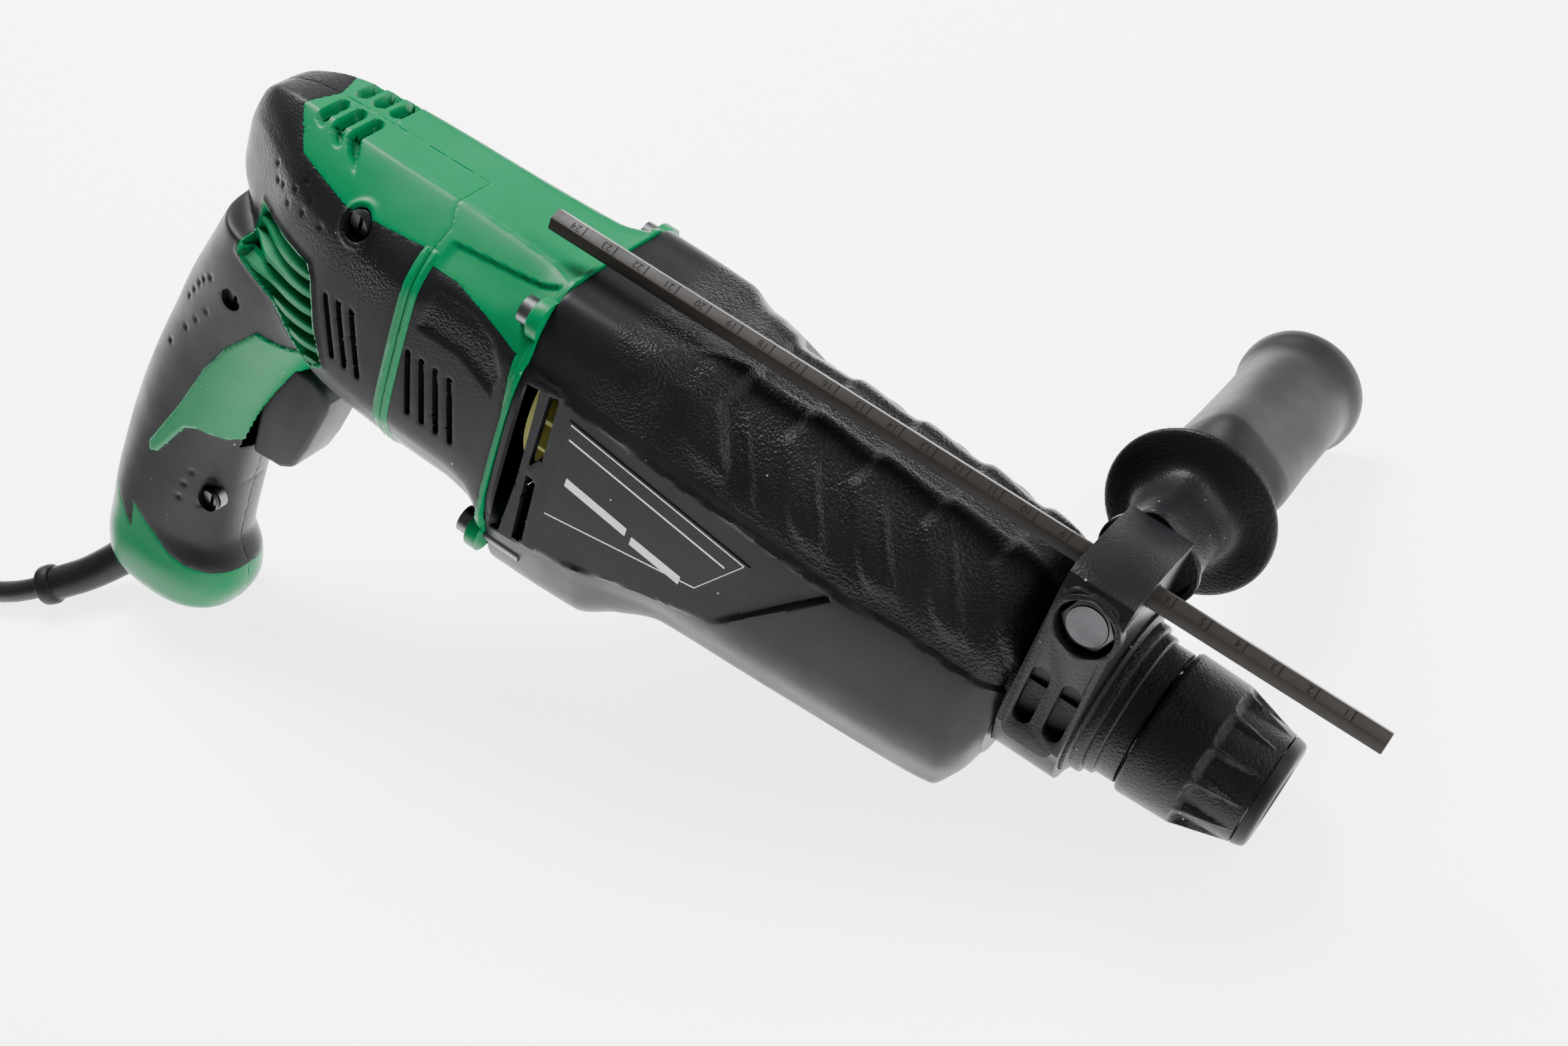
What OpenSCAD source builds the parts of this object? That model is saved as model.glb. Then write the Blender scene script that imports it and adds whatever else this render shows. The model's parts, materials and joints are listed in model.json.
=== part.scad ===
/* [Body] */
// Height of the flat green top above the spindle axis
top_z = 31.5; // [30:0.5:33]
// Half width of the motor housing
body_hw = 34; // [33:0.5:35]
// Wall thickness of the moulded housings
wall = 3; // [2.6:0.1:3.2]
// Thickness of the soft black skin over the green mouldings
skin_t = 1.4; // [1:0.1:1.6]
// Station where the gear case meets the motor housing
joint_x = -219; // [-220:1:-218]
// Station where the handle halves begin
cover_x = -259; // [-260:1:-258]

/* [Chuck] */
// Radius of the bore for a 10 mm shank
shank_bore_r = 5.1; // [5.02:0.01:5.2]
// Depth of the shank bore, from the mouth of the holder
shank_depth = 58; // [50:1:58]
// Radius of the tool holder
holder_r = 12; // [11.8:0.1:12]
// Outer radius of the chuck sleeve at its back edge
sleeve_r = 20.9; // [20.6:0.1:21]
// How far the chuck sleeve pulls back
sleeve_travel = 6; // [4:1:6]

/* [Gears] */
// Teeth on the rotor's pinion
pinion_teeth = 8; // [8:1:8]
// Teeth on the countershaft's large gear
drive_teeth = 36; // [36:1:36]
// Teeth on the countershaft's small gear
counter_teeth = 13; // [13:1:13]
// Teeth on the spindle gear
spindle_teeth = 36; // [36:1:36]

/* [Side handle] */
// Station of the side handle's axis
handle_x = -58; // [-59:0.5:-57]
// Height of the side handle's axis above the spindle axis
handle_z = 34.8; // [34:0.2:36]
// Radius of the dished hand guard
guard_r = 24.2; // [22:0.2:26]
// Radius of the side grip
grip_r = 16.4; // [15:0.2:17]
// Distance of the grip's end from the middle plane
grip_end_y = 119; // [110:1:125]
// Width across flats of the depth gauge
gauge_af = 6; // [5:0.5:6]
// Length of the depth gauge
gauge_len = 250; // [200:10:260]

/* [Cord] */
// Diameter of the mains cord
cord_d = 7.5; // [7:0.1:8]
// Outer radius of the coiled cord
coil_r = 54; // [52:1:56]
// Inner radius of the coiled cord
coil_in = 27; // [24:1:30]
// Height of the coiled cord
coil_h = 24; // [20:1:30]

/* [Placement] */
// Lean of the tool on to its side handle
lean = -26.57; // [-28:0.01:-25]
// Dip of the chuck towards the ground
dip = 23.7; // [23:0.01:25]
// Shift forwards that centres the outline
place_x = 194.99; // [0:0.01:400]
// Shift sideways that centres the outline
place_y = -10.83; // [-100:0.01:100]
// Lift that stands the tool on the ground
place_z = 13.62; // [0:0.01:300]

/* [Hidden] */
$fn = 64;

green = "#0a8f55";
black = "#26272a";
steel = "#b9bcc0";

// Gear train: modules of the two pairs, shaft heights and the stations of the wheels
fine_m = 1;
coarse_m = 1.25;
counter_z = -coarse_m * (counter_teeth + spindle_teeth) / 2;
rotor_z = counter_z + fine_m * (pinion_teeth + drive_teeth) / 2;
fine_x = [-197, -188.8];
coarse_x = [-152, -142];
wobble_x = -172;

// Chuck stations, counted back from the front face of the cap
cap_back = -3.8;
sleeve_back = -35.2;
sleeve_shelf = -24;
ball_x = -27.5;
neck_front = -36;
holder_step = -62;
holder_back = -96;

// Depth gauge and clamp
gauge_y = -11.9;
gauge_z = 41.7;
gauge_tip = 16;
clamp_x = [-68, -49.5];
neck_r = 24;

// Cord on the ground, measured from below the chuck's tip: strain relief, lead, coil, tail and plug
guard_route = [[-382, -72, 19], [-389, -78, 14.6], [-396, -84.2, 11.2], [-405, -92, 8.6], [-414.5, -99.4, 7.4],
    [-415.5, -100.1, 7.3], [-419, -102.6, 7.2]];
lead_route = [[-419, -102.6, 7.2], [-429, -107.8, 5.2], [-441, -112.4, 4.1], [-457, -116.8, 4], [-474, -119.6, 4],
    [-494, -121.2, 4], [-514, -121.5, 4]];
coil_at = [-514, -170];
tail_route = [[-562.5, -170, 4], [-562.5, -185, 4], [-559, -202, 4], [-550, -218, 4], [-536, -231, 4],
    [-518, -239.5, 4.3], [-497, -243, 6.2]];
plug_at = [-497, -243, 6.2];
plug_tilt = 18.2;

// Trigger
trigger_x = [-314, -291];
trigger_z = [-97, -58];
trigger_hw = 9.5;
trigger_travel = 6;

// Controls on the left side, each at [x, z]
lock_at = [-322, -66];
reverse_at = [-288, -38];
mode_at = [-150, -14];

// ---------------------------------------------------------------- helpers

// Puts a piece drawn in the tool's own axes down on the ground, as it lies
module set_down() {
    translate([place_x, place_y, place_z]) rotate([lean, dip, 0]) children();
}

// Places a piece drawn on the ground, with its origin below the chuck's tip
module on_ground() {
    translate([place_x, place_y, 0]) children();
}

// Cylinder along the tool, with an optional bore
module tube_x(x0, x1, r, bore = 0) {
    translate([x0, 0, 0]) rotate([0, 90, 0]) difference() {
        cylinder(r = r, h = x1 - x0);
        if (bore > 0) translate([0, 0, -1]) cylinder(r = bore, h = x1 - x0 + 2);
    }
}

// Cylinder across the tool, from y0 to y1
module tube_y(y0, y1, r, bore = 0) {
    translate([0, y0, 0]) rotate([-90, 0, 0]) difference() {
        cylinder(r = r, h = y1 - y0);
        if (bore > 0) translate([0, 0, -1]) cylinder(r = bore, h = y1 - y0 + 2);
    }
}

// Solid turned about the tool's axis from [x, r] points
module turn_x(profile) {
    rotate([0, 90, 0]) rotate_extrude() polygon([for (p = profile) [p[1], p[0]]]);
}

// Solid turned about the side handle's axis from [y, r] points
module turn_y(profile) {
    rotate([-90, 0, 0]) rotate_extrude() polygon([for (p = profile) [p[1], p[0]]]);
}

// Skin over a list of rings, each with the same number of points
module loft(rings) {
    n = len(rings[0]);
    m = len(rings);
    side = [for (j = [0:m - 2]) for (i = [0:n - 1]) let (k = (i + 1) % n)
        [[j * n + i, (j + 1) * n + i, (j + 1) * n + k], [j * n + i, (j + 1) * n + k, j * n + k]]];
    polyhedron(
        points = [for (ring = rings) for (p = ring) p],
        faces = concat([[for (i = [0:n - 1]) i]], [for (pair = side) for (t = pair) t],
            [[for (i = [n - 1:-1:0]) (m - 1) * n + i]]));
}

// Slice from a to b of everything with y on one side, and beyond one station
module side_box(x0, x1, y0, y1) {
    translate([x0, y0, -250]) cube([x1 - x0, y1 - y0, 400]);
}

// Prism across the tool from an outline in x and z
module prism_y(points, y0, y1) {
    translate([0, y1, 0]) rotate([90, 0, 0]) linear_extrude(height = y1 - y0) polygon(points);
}

// Prism along the tool from an outline in y and z
module prism_x(points, x0, x1) {
    translate([x0, 0, 0]) rotate([90, 0, 90]) linear_extrude(height = x1 - x0) polygon(points);
}

// Spur gear of the given module, centred on the local axis, first tooth at phase degrees
module spur(teeth, m, x, bore, phase = 0) {
    pitch = m * teeth / 2;
    tip = pitch + 0.8 * m;
    root = pitch - 1.1 * m;
    step = 360 / teeth;
    translate([x[0], 0, 0]) rotate([0, 90, 0]) linear_extrude(height = x[1] - x[0]) difference() {
        polygon([for (i = [0:teeth - 1]) let (a = i * step + phase)
            for (q = [[root, -0.36], [pitch, -0.215], [tip, -0.1], [tip, 0.1], [pitch, 0.215], [root, 0.36]])
                q[0] * [cos(a + q[1] * step), sin(a + q[1] * step)]]);
        circle(r = bore);
    }
}

// ---------------------------------------------------------------- housing outlines

// Half outline of the body at one station, from the top middle down to the bottom middle
function half_section(zt, zb, hw, tw) = [[0, zt], [0.75 * tw, zt - 0.012 * tw], [tw, zt - 0.7],
    [tw + 0.55 * (hw - tw), zt - 0.1 * (zt - zb)], [0.94 * hw, zt - 0.19 * (zt - zb)],
    [hw, zt - 0.3 * (zt - zb)], [hw, zb + 0.32 * (zt - zb)], [0.91 * hw, zb + 0.21 * (zt - zb)],
    [0.7 * hw, zb + 0.11 * (zt - zb)], [0.44 * hw, zb + 0.04 * (zt - zb)], [0.18 * hw, zb + 0.005 * (zt - zb)],
    [0, zb]];

// Half outline of the gear case, whose upper part follows the hammer tube and whose foot is a flat keel
function case_section(zt, zb, hw, tw) = [[0, zt], [0.6 * tw, zt - 0.012 * tw],
    [tw, zt - 0.05 * tw], [0.5 * (hw + tw), 0.74 * zt], [0.92 * hw, 0.42 * zt], [hw, 0.05 * zt],
    [hw, 0.35 * zb], [0.96 * hw, 0.58 * zb], [0.82 * hw, 0.78 * zb], [0.66 * hw, 0.93 * zb],
    [0.45 * hw, zb], [0, zb]];

// Closed ring at station x from a half outline
function ring_at(x, half) = let (n = len(half)) concat(
    [for (i = [0:n - 1]) [x, -half[i][0], half[i][1]]],
    [for (i = [n - 2:-1:1]) [x, half[i][0], half[i][1]]]);

// Stations of the body: [x, top, bottom, half width, half width of the flat top]
body_stations = [[-338.5, 15, -10, 5, 2.5], [-335.5, 21.5, -14, 8, 5], [-329, 27, -20, 12.5, 8],
    [-318, 30, -32, 19, 11.5], [-304, 31, -46, 26, 13.5], [-285, 31.3, -54, 31, 14.5],
    [-259, top_z, -55, 33.5, 15], [-240, top_z, -55, body_hw, 16], [-229, top_z, -57, 34.5, 17],
    [joint_x - 3, top_z + 0.5, -63, 35.5, 20], [joint_x, top_z + 1, -66, 36, 21]];

// Body inset by t on every side, with its open front end moved forwards by more
module body_form(t, more = 0) {
    last = len(body_stations) - 1;
    loft([for (i = [0:last]) let (s = body_stations[i])
        ring_at(s[0] + (i == 0 ? t : i == last ? more : 0),
            half_section(s[1] - t, s[2] + t, s[3] - t, s[4] - 0.4 * t))]);
}

// Stations of the grip from the foot up: [z, back, front, half width]
grip_stations = [[-171, -352, -325, 12], [-169.5, -358, -319, 15.5], [-165, -362.5, -314, 17.6],
    [-156, -364, -311.5, 18.2], [-149, -364, -312.5, 17.6], [-140, -364, -317.5, 17], [-118, -362.5, -317, 17],
    [-98, -360, -315, 17.2], [-80, -356.5, -311, 17.8], [-62, -352, -304, 19], [-45, -347.5, -296, 21.5],
    [-28, -341.5, -291, 24], [-14, -336.5, -288, 25.5]];

// Rounded outline of the grip at one height, as an oval that is squarer than an ellipse
function grip_ring(z, xb, xf, hw, n = 28) = [for (i = [0:n - 1]) let (a = i * 360 / n, c = cos(a), s = sin(a))
    [(xf + xb) / 2 + (xf - xb) / 2 * sign(c) * pow(abs(c), 0.8), hw * sign(s) * pow(abs(s), 0.8), z]];

module grip_form(t) {
    last = len(grip_stations) - 1;
    loft([for (i = [0:last]) let (s = grip_stations[i])
        grip_ring(s[0] + (i == 0 ? t : i == last ? -t : 0), s[1] + t, s[2] - t, s[3] - t)]);
}

module handle_form(t, more = 0) {
    body_form(t, more);
    grip_form(t);
}

// Outline of the soft skin on the handle, seen from the side
skin_outline = [[-345, 45], [-313, 45], [-309, 22], [-288, 19], [-266, 21], [cover_x, 20], [cover_x, -80],
    [-300, -80], [-300, -149], [-318, -149], [-345, -146], [-370, -151], [-370, 0]];
louvre_outline = [[-320, -2], [-294, -3], [-286, -36], [-291, -38], [-320, -22]];
inlay_outline = [[-312, -43], [-292, -48], [-300, -80], [-302, -88], [-311, -92], [-329, -94], [-342, -112],
    [-345, -113], [-336, -88], [-330, -70]];
motor_skin_outline = [[cover_x, 23], [-252, 23], [-226, 13], [-224, -25], [-226, -40], [-234, -70],
    [cover_x, -70]];

module skin_prism() {
    difference() {
        prism_y(skin_outline, -60, 60);
        prism_y(louvre_outline, -60, 60);
        prism_y(inlay_outline, -60, 60);
    }
}

// Pocket that the trigger slides into, open at the front
module trigger_pocket() {
    gap = 0.6;
    translate([trigger_x[0] - trigger_travel - 1.5, -trigger_hw - gap, trigger_z[0] - gap])
        cube([60, 2 * (trigger_hw + gap), trigger_z[1] - trigger_z[0] + 2 * gap]);
}

// Holes for the lock button and the reversing lever's pivot
module left_holes() {
    translate([lock_at[0], 0, lock_at[1]]) tube_y(11, 40, 3.75);
    translate([reverse_at[0], 0, reverse_at[1]]) tube_y(20, 40, 2.7);
}

module rear_vents() {
    for (i = [0:2])
        translate([-283.5 + 5 * i, -40, -27]) cube([2, 80, 16]);
}

module front_vents() {
    for (i = [0:3])
        translate([-254 + 5 * i, -40, -24]) cube([2, 80, 17]);
}

// Cover screws: [x, z, depth of the head below the middle plane]
cover_screws = [[-282, 17, 27], [-322, -37, 20], [-321, -119, 14]];

module cover_screw_holes(r) {
    for (s = cover_screws)
        translate([s[0], 0, s[1]]) tube_y(-60, -s[2], r);
}

module green_form() {
    difference() {
        handle_form(0);
        skin_prism();
        prism_y(motor_skin_outline, -60, 60);
    }
    handle_form(skin_t, -1);
}

// Screws through the rim of the gear case: [y, z]
rim_screws = [[28, 24], [-28, 24], [29, -50], [-29, -50]];

module rim_bosses() {
    for (s = rim_screws)
        translate([0, s[0], s[1]]) tube_x(joint_x - 4, joint_x, 6);
}

// ---------------------------------------------------------------- housings

module motor_housing() color(green) set_down() difference() {
    union() {
        green_form();
        rim_bosses();
    }
    handle_form(wall, 1);
    side_box(-400, cover_x, -60, 0);
    front_vents();
    trigger_pocket();
    left_holes();
    translate([0, 0, rotor_z]) tube_x(joint_x - 10, joint_x + 5, 30.5);
}

module motor_skin() color(black) set_down() difference() {
    intersection() {
        body_form(0);
        prism_y(motor_skin_outline, -60, 60);
    }
    body_form(skin_t, 1);
    front_vents();
}

module handle_cover() color(green) set_down() difference() {
    green_form();
    handle_form(wall, 1);
    side_box(-400, cover_x, 0, 60);
    side_box(cover_x, -100, -60, 60);
    rear_vents();
    trigger_pocket();
    cover_screw_holes(3.6);
}

module grip_skin(y0, y1) difference() {
    intersection() {
        handle_form(0);
        skin_prism();
    }
    handle_form(skin_t);
    side_box(-400, cover_x, y0, y1);
    trigger_pocket();
    rear_vents();
}

module grip_skin_right() color(black) set_down() difference() {
    grip_skin(0, 60);
    cover_screw_holes(3.6);
}

module grip_skin_left() color(black) set_down() difference() {
    grip_skin(-60, 0);
    left_holes();
}

// Stations of the gear case: [x, top, bottom, half width, half width of the flat top]
case_stations = [[joint_x, 33, -66, 36, 25], [-212, 33, -66, 36, 25], [-190, 33, -65, 36, 24],
    [-178, 32.3, -58, 34, 16], [-164, 32, -52, 32.5, 12], [-140, 32, -51, 32, 12], [-112, 31.5, -50, 31, 12],
    [-88, 30.5, -49.5, 29, 11], [-78, 29.5, -48.5, 28, 11], [-73, 27, -40, 26, 10], [-70.5, 25, -28, 24.5, 9.5]];

// Gear case inset by t on every side, as far as one of its stations
module case_form(t, last) {
    loft([for (i = [0:last]) let (s = case_stations[i])
        ring_at(s[0] - (i == 0 ? t : 0), case_section(s[1] - t, s[2] + t, s[3] - t, s[4] - 0.4 * t))]);
}

module gear_case() color(black) set_down() difference() {
    union() {
        case_form(0, 10);
        turn_x([[-80, 0], [-80, neck_r], [clamp_x[1] + 0.5, neck_r], [-48.5, 22.2], [-45, 22.2], [-44.5, 20.6],
            [-42, 20.6], [-41.6, 19.5], [neck_front, 19.5], [neck_front, 0]]);
    }
    case_form(wall, 7);
    tube_x(-92, -56, 21.45);
    tube_x(-60, -30, 16.2);
    for (s = [0:3])
        translate([-216 + 2.6 * s, -60, -38 + 4 * s]) cube([1.3, 30, 44 - 6 * s]);
    translate([-204, -37.5, -24]) cube([60, 2.4, 30]);
    translate([mode_at[0], 0, mode_at[1]]) tube_y(20, 40, 5.3);
}

module label_plate() color("#8c8f93") set_down()
    translate([-203.5, -36, -23.5]) cube([59, 0.8, 29]);

module bearing_plate() color(steel) set_down() difference() {
    intersection() {
        case_form(wall + 0.1, 7);
        side_box(-205, -199, -60, 60);
    }
    translate([0, 0, rotor_z]) tube_x(-210, -190, 9.5);
    translate([0, 0, counter_z]) tube_x(-210, -190, 8);
}

module gear_screw(i) color("#55585c") set_down() translate([0, rim_screws[i][0], rim_screws[i][1]]) {
    tube_x(joint_x - 8, joint_x - 4.2, 4);
    tube_x(joint_x - 5, joint_x + 12, 2);
}
module gear_screw_1() gear_screw(0);
module gear_screw_2() gear_screw(1);
module gear_screw_3() gear_screw(2);
module gear_screw_4() gear_screw(3);

module cover_screw(i) color("#55585c") set_down() translate([cover_screws[i][0], 0, cover_screws[i][1]]) {
    difference() {
        tube_y(-cover_screws[i][2] + 0.02, -cover_screws[i][2] + 3, 3.55);
        translate([-0.6, -cover_screws[i][2] - 1, -2.4]) cube([1.2, 2.5, 4.8]);
    }
    tube_y(-cover_screws[i][2] + 2, 5, 1.8);
}
module cover_screw_1() cover_screw(0);
module cover_screw_2() cover_screw(1);
module cover_screw_3() cover_screw(2);

// ---------------------------------------------------------------- controls

module trigger() color("#3a3b3e") set_down() hull() {
    for (z = [trigger_z[0] + 6, trigger_z[1] - 4])
        translate([trigger_x[1] - (z < -80 ? 9 : 4), 0, z]) tube_y(-trigger_hw, trigger_hw, 4, 0, $fn = 32);
    translate([trigger_x[0], -trigger_hw, trigger_z[0]]) cube([8, 2 * trigger_hw, trigger_z[1] - trigger_z[0]]);
}

module lock_button() color("#3a3b3e") set_down() translate([lock_at[0], 0, lock_at[1]]) tube_y(14, 21.5, 3.4);

module reversing_lever() color("#3a3b3e") set_down() translate([reverse_at[0], 0, reverse_at[1]]) {
    tube_y(24, 32.4, 2.4);
    tube_y(32, 35, 5);
    translate([-2, 32, -14]) cube([4, 3.4, 14]);
}

module switch_body() color("#1d1e20") set_down()
    translate([-345, -11, -94]) cube([22.5, 22, 34]);

module mode_lever() color("#3a3b3e") set_down() translate([mode_at[0], 0, mode_at[1]]) {
    tube_y(27, 34, 5);
    tube_y(33.6, 37, 14);
    translate([-14, 36.5, -4]) cube([28, 5, 8]);
}

// ---------------------------------------------------------------- spindle

module tool_holder() color(steel) set_down() difference() {
    turn_x([[-2.6, shank_bore_r], [-2.6, holder_r - 1], [cap_back + 0.2, holder_r], [-47, holder_r],
        [-47, 15], [-48.2, 15], [-48.2, holder_r], [holder_step, holder_r], [holder_step, 15.5],
        [holder_back, 15.5], [holder_back, 7.2], [-2.6 - shank_depth, 7.2], [-2.6 - shank_depth, shank_bore_r]]);
    for (a = [0, 180])
        rotate([a, 0, 0]) translate([ball_x, 0, 5.15]) cylinder(r = 3.55, h = 10);
}

module front_cap() color(black) set_down()
    turn_x([[cap_back, holder_r + 0.02], [cap_back, 16.1], [-1.2, 15.4], [-0.2, 14.4], [0, 13.8],
        [0, 5.9], [-2.55, 5.9], [-2.55, holder_r - 0.95], [cap_back + 0.2, holder_r + 0.06]]);

module chuck_sleeve() color(black) set_down() difference() {
    turn_x([[cap_back - 0.2, 12.5], [cap_back - 0.2, 16.2], [-17.2, 18.1], [-18.8, 20.1], [-19.8, 20.5],
        [sleeve_back, sleeve_r], [sleeve_back, 19.85], [sleeve_shelf, 19.85], [sleeve_shelf, 15],
        [sleeve_shelf - 6, 15], [sleeve_shelf - 6, 12.5]]);
    for (i = [0:11])
        rotate([30 * i, 0, 0]) translate([-16, 0, 19.6]) rotate([0, 94, 0]) cylinder(r = 2.3, h = 14);
}

// Coil spring between the holder's collar and the sleeve, six turns
module sleeve_spring() color(steel) set_down() {
    spring_r = 13.6;
    wire_r = 0.55;
    spring_x = [-46.4, -30.8];
    turns = 5;
    steps = 20;
    loft([for (i = [0:turns * steps]) let (a = i * 360 / steps, x = spring_x[0]
        + (spring_x[1] - spring_x[0]) * i / (turns * steps))
        [for (k = [0:5]) let (b = -60 * k, r = spring_r + wire_r * cos(b))
            [x + wire_r * sin(b), r * cos(a), r * sin(a)]]]);
}

module locking_ball(a) color(steel) set_down()
    rotate([a, 0, 0]) translate([ball_x, 0, 8.75]) sphere(r = 3.5);
module locking_ball_1() locking_ball(0);
module locking_ball_2() locking_ball(180);

module hammer_cylinder() color(steel) set_down()
    turn_x([[holder_back, 12.1], [holder_back, 15.5], [-160, 15.5], [-160, 12.1]]);

module spindle_gear() color("#8d8f94") set_down() spur(spindle_teeth, coarse_m, coarse_x, 15.52, 0);

module spindle_bearing() color(steel) set_down() tube_x(-82, -71, 21.4, 15.56);

module spindle_seal() color(black) set_down() tube_x(-61.4, -56.4, 21.4, holder_r + 0.08);

module impact_bolt() color(steel) set_down()
    turn_x([[-63, 0], [-63, 6], [-64, 7.12], [-94, 7.12], [-94, 0]]);

module striker() color("#9fa2a6") set_down()
    turn_x([[-99.5, 0], [-99.5, 5.5], [-112, 6], [-113, 12.02], [-133.5, 12.02], [-133.5, 0]]);

module piston() color("#c9ccd0") set_down() difference() {
    turn_x([[-146, 0], [-146, 12.02], [-181, 12.02], [-181, 0]]);
    translate([wobble_x - 4.3, -4, -5]) cube([8.6, 8, 10]);
    translate([wobble_x - 8.4, -4, -14]) cube([16.8, 8, 9.1]);
}

// ---------------------------------------------------------------- countershaft

module countershaft() color(steel) set_down() translate([0, 0, counter_z]) {
    tube_x(-204, -131, 5);
    spur(counter_teeth, coarse_m, coarse_x, 4.9, 0);
}

module drive_gear() color("#8d8f94") set_down() translate([0, 0, counter_z])
    spur(drive_teeth, fine_m, fine_x, 5.02, 0);

module drive_clutch() color("#6f7276") set_down() translate([0, 0, counter_z]) tube_x(-161, -153.5, 9, 5.02);

// Barrel-shaped hub with flats, on which the ring rolls and rocks
module wobble_hub() color(steel) set_down() translate([wobble_x, 0, counter_z])
    turn_x([[-5, 5.02], [-5, 6.4], [-2.5, 7.6], [2.5, 7.6], [5, 6.4], [5, 5.02]]);

// Ring around the hub, with the arm that rocks the piston; its tip is a cross pin
module wobble_ring() color("#7b7e83") set_down() translate([wobble_x, 0, counter_z]) {
    turn_x([[-4.5, 10.2], [-4.5, 15], [4.5, 15], [4.5, 10.2]]);
    translate([0, 0, 14]) cylinder(r = 2.8, h = -counter_z - 14);
    translate([0, 0, -counter_z]) tube_y(-3.6, 3.6, 4);
}

module counter_bearing_front() color(steel) set_down() translate([0, 0, counter_z])
    tube_x(-138, -131, 9.5, 5.06);

module counter_bearing_rear() color(steel) set_down() translate([0, 0, counter_z])
    tube_x(-205, -199.2, 7.95, 5.06);

// ---------------------------------------------------------------- motor

module rotor_shaft() color(steel) set_down() translate([0, 0, rotor_z]) {
    tube_x(-331, -198, 4);
    spur(pinion_teeth, fine_m, [-198, -188.3], 1, 180 / pinion_teeth);
}

module rotor_core() color("#8a4f2a") set_down() translate([0, 0, rotor_z]) tube_x(-290, -242, 21, 4.02);

module commutator() color("#b87333") set_down() translate([0, 0, rotor_z]) tube_x(-314, -298, 11.5, 4.02);

module fan() color("#c9cf5a") set_down() translate([0, 0, rotor_z]) {
    tube_x(-218, -208, 9, 4.02);
    tube_x(-218, -216.4, 27, 4.02);
    for (i = [0:16])
        rotate([i * 360 / 17, 0, 0]) translate([-216.5, -0.7, 8.8]) cube([7, 1.4, 18]);
}

module rotor_bearing_front() color(steel) set_down() translate([0, 0, rotor_z]) tube_x(-205, -199.2, 9.45, 4.06);

module rotor_bearing_rear() color(steel) set_down() translate([0, 0, rotor_z]) tube_x(-328.5, -322, 7.2, 4.06);

module stator() color("#5d5f63") set_down() translate([0, 0, rotor_z]) difference() {
    tube_x(-290, -242, 27.4, 21.6);
    for (s = [-1, 1])
        translate([-300, s * 24 - 4, -4]) cube([70, 8, 8]);
    for (s = [-1, 1])
        translate([-300, -30, s * 28 - 5]) cube([70, 60, 10]);
}

module brush_holder(s) color("#a58a3c") set_down() translate([-306, s * 15.6, rotor_z])
    cube([8, 7.4, 9], center = true);
module brush_holder_left() brush_holder(1);
module brush_holder_right() brush_holder(-1);

// ---------------------------------------------------------------- side handle

// Outline of the clamp's block, in y and z: flat face on the right, gauge socket on top
clamp_outline = [[-27.4, -8], [-28, -5], [-28, 42], [-26.5, 45.5], [-23, 47.3], [-3, 47.3], [4, 46], [10, 46],
    [10, 23], [0, 20], [-16, 10], [-20, -8]];

module clamp_holder() color(black) set_down() difference() {
    union() {
        tube_x(clamp_x[0], clamp_x[1], 27);
        prism_x(clamp_outline, clamp_x[0], clamp_x[1]);
    }
    tube_x(clamp_x[0] - 1, clamp_x[1] + 1, neck_r + 0.35);
    translate([handle_x, 0, handle_z]) tube_y(-40, 40, 4.1);
    translate([handle_x, 0, handle_z]) tube_y(-40, -22, 7.8);
    translate([clamp_x[0] - 1, gauge_y, gauge_z]) rotate([0, 90, 0])
        cylinder(r = gauge_af / sqrt(3) + 0.35, h = 30, $fn = 6);
    for (s = [-1, 1])
        hull() {
            for (z = [2, 14])
                translate([handle_x + s * 4.6, 0, z]) tube_y(-30, -25.2, 2.6, 0, $fn = 32);
        }
}

module clamp_bolt() color("#4c4e52") set_down() translate([handle_x, 0, handle_z]) {
    translate([0, -26.8, 0]) rotate([-90, 0, 0]) cylinder(r = 13 / sqrt(3), h = 4.7, $fn = 6);
    tube_y(-22.2, -7, 3.3);
    tube_y(-7.5, 60, 4);
}

module handle_stem() color(black) set_down() translate([handle_x, 0, handle_z]) difference() {
    union() {
        turn_y([[10, 0], [10.02, 12.5], [22, 11.5], [31, 12.5], [33.5, 15], [34.5, 19], [35.6, 23.6],
            [36.6, guard_r], [37.6, 23.4], [37, 15], [40, 11.5], [43.7, 11], [43.7, 0]]);
    }
    tube_y(5, 50, 4.02);
}

module side_grip() color(black) set_down() translate([handle_x, 0, handle_z]) difference() {
    turn_y([[44, 0], [44, 13.5], [56, 15.6], [62, grip_r], [104, grip_r], [110, 16.9], [114.5, 18.9],
        [grip_end_y - 1.5, 18.9], [grip_end_y, 17.6], [grip_end_y, 0]]);
    tube_y(40, 60.5, 4.06);
}

module depth_gauge() color("#2f2c2a") set_down() translate([gauge_tip - gauge_len, gauge_y, gauge_z])
    rotate([0, 90, 0]) cylinder(r = gauge_af / sqrt(3), h = gauge_len, $fn = 6);

// ---------------------------------------------------------------- cord

function unit(v) = v / norm(v);

// Tube of radius r(i) swept along a route of points
module sweep(route, radii, sides) {
    n = len(route);
    loft([for (i = [0:n - 1]) let (
        t = unit(route[min(i + 1, n - 1)] - route[max(i - 1, 0)]),
        u = unit(cross([0, 0, 1], t)),
        v = cross(t, u))
        [for (k = [0:sides - 1]) let (a = 360 * k / sides)
            route[i] + radii[i] * (cos(a) * u + sin(a) * v)]]);
}

// Tapered strain relief, with a ring at its mouth
module cord_guard() color(black) on_ground()
    sweep(guard_route, [6.9, 6.5, 6.1, 5.8, 5.7, 6.9, 6.9], 16);

module mains_cord() color("#202124") on_ground()
    sweep(lead_route, [for (p = lead_route) cord_d / 2], 8);

module cord_coil() color("#202124") on_ground() translate([coil_at[0], coil_at[1], 0])
    rotate_extrude() polygon([[coil_in, 0.2], [coil_r, 0.2], [coil_r, coil_h], [coil_in, coil_h]]);

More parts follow.
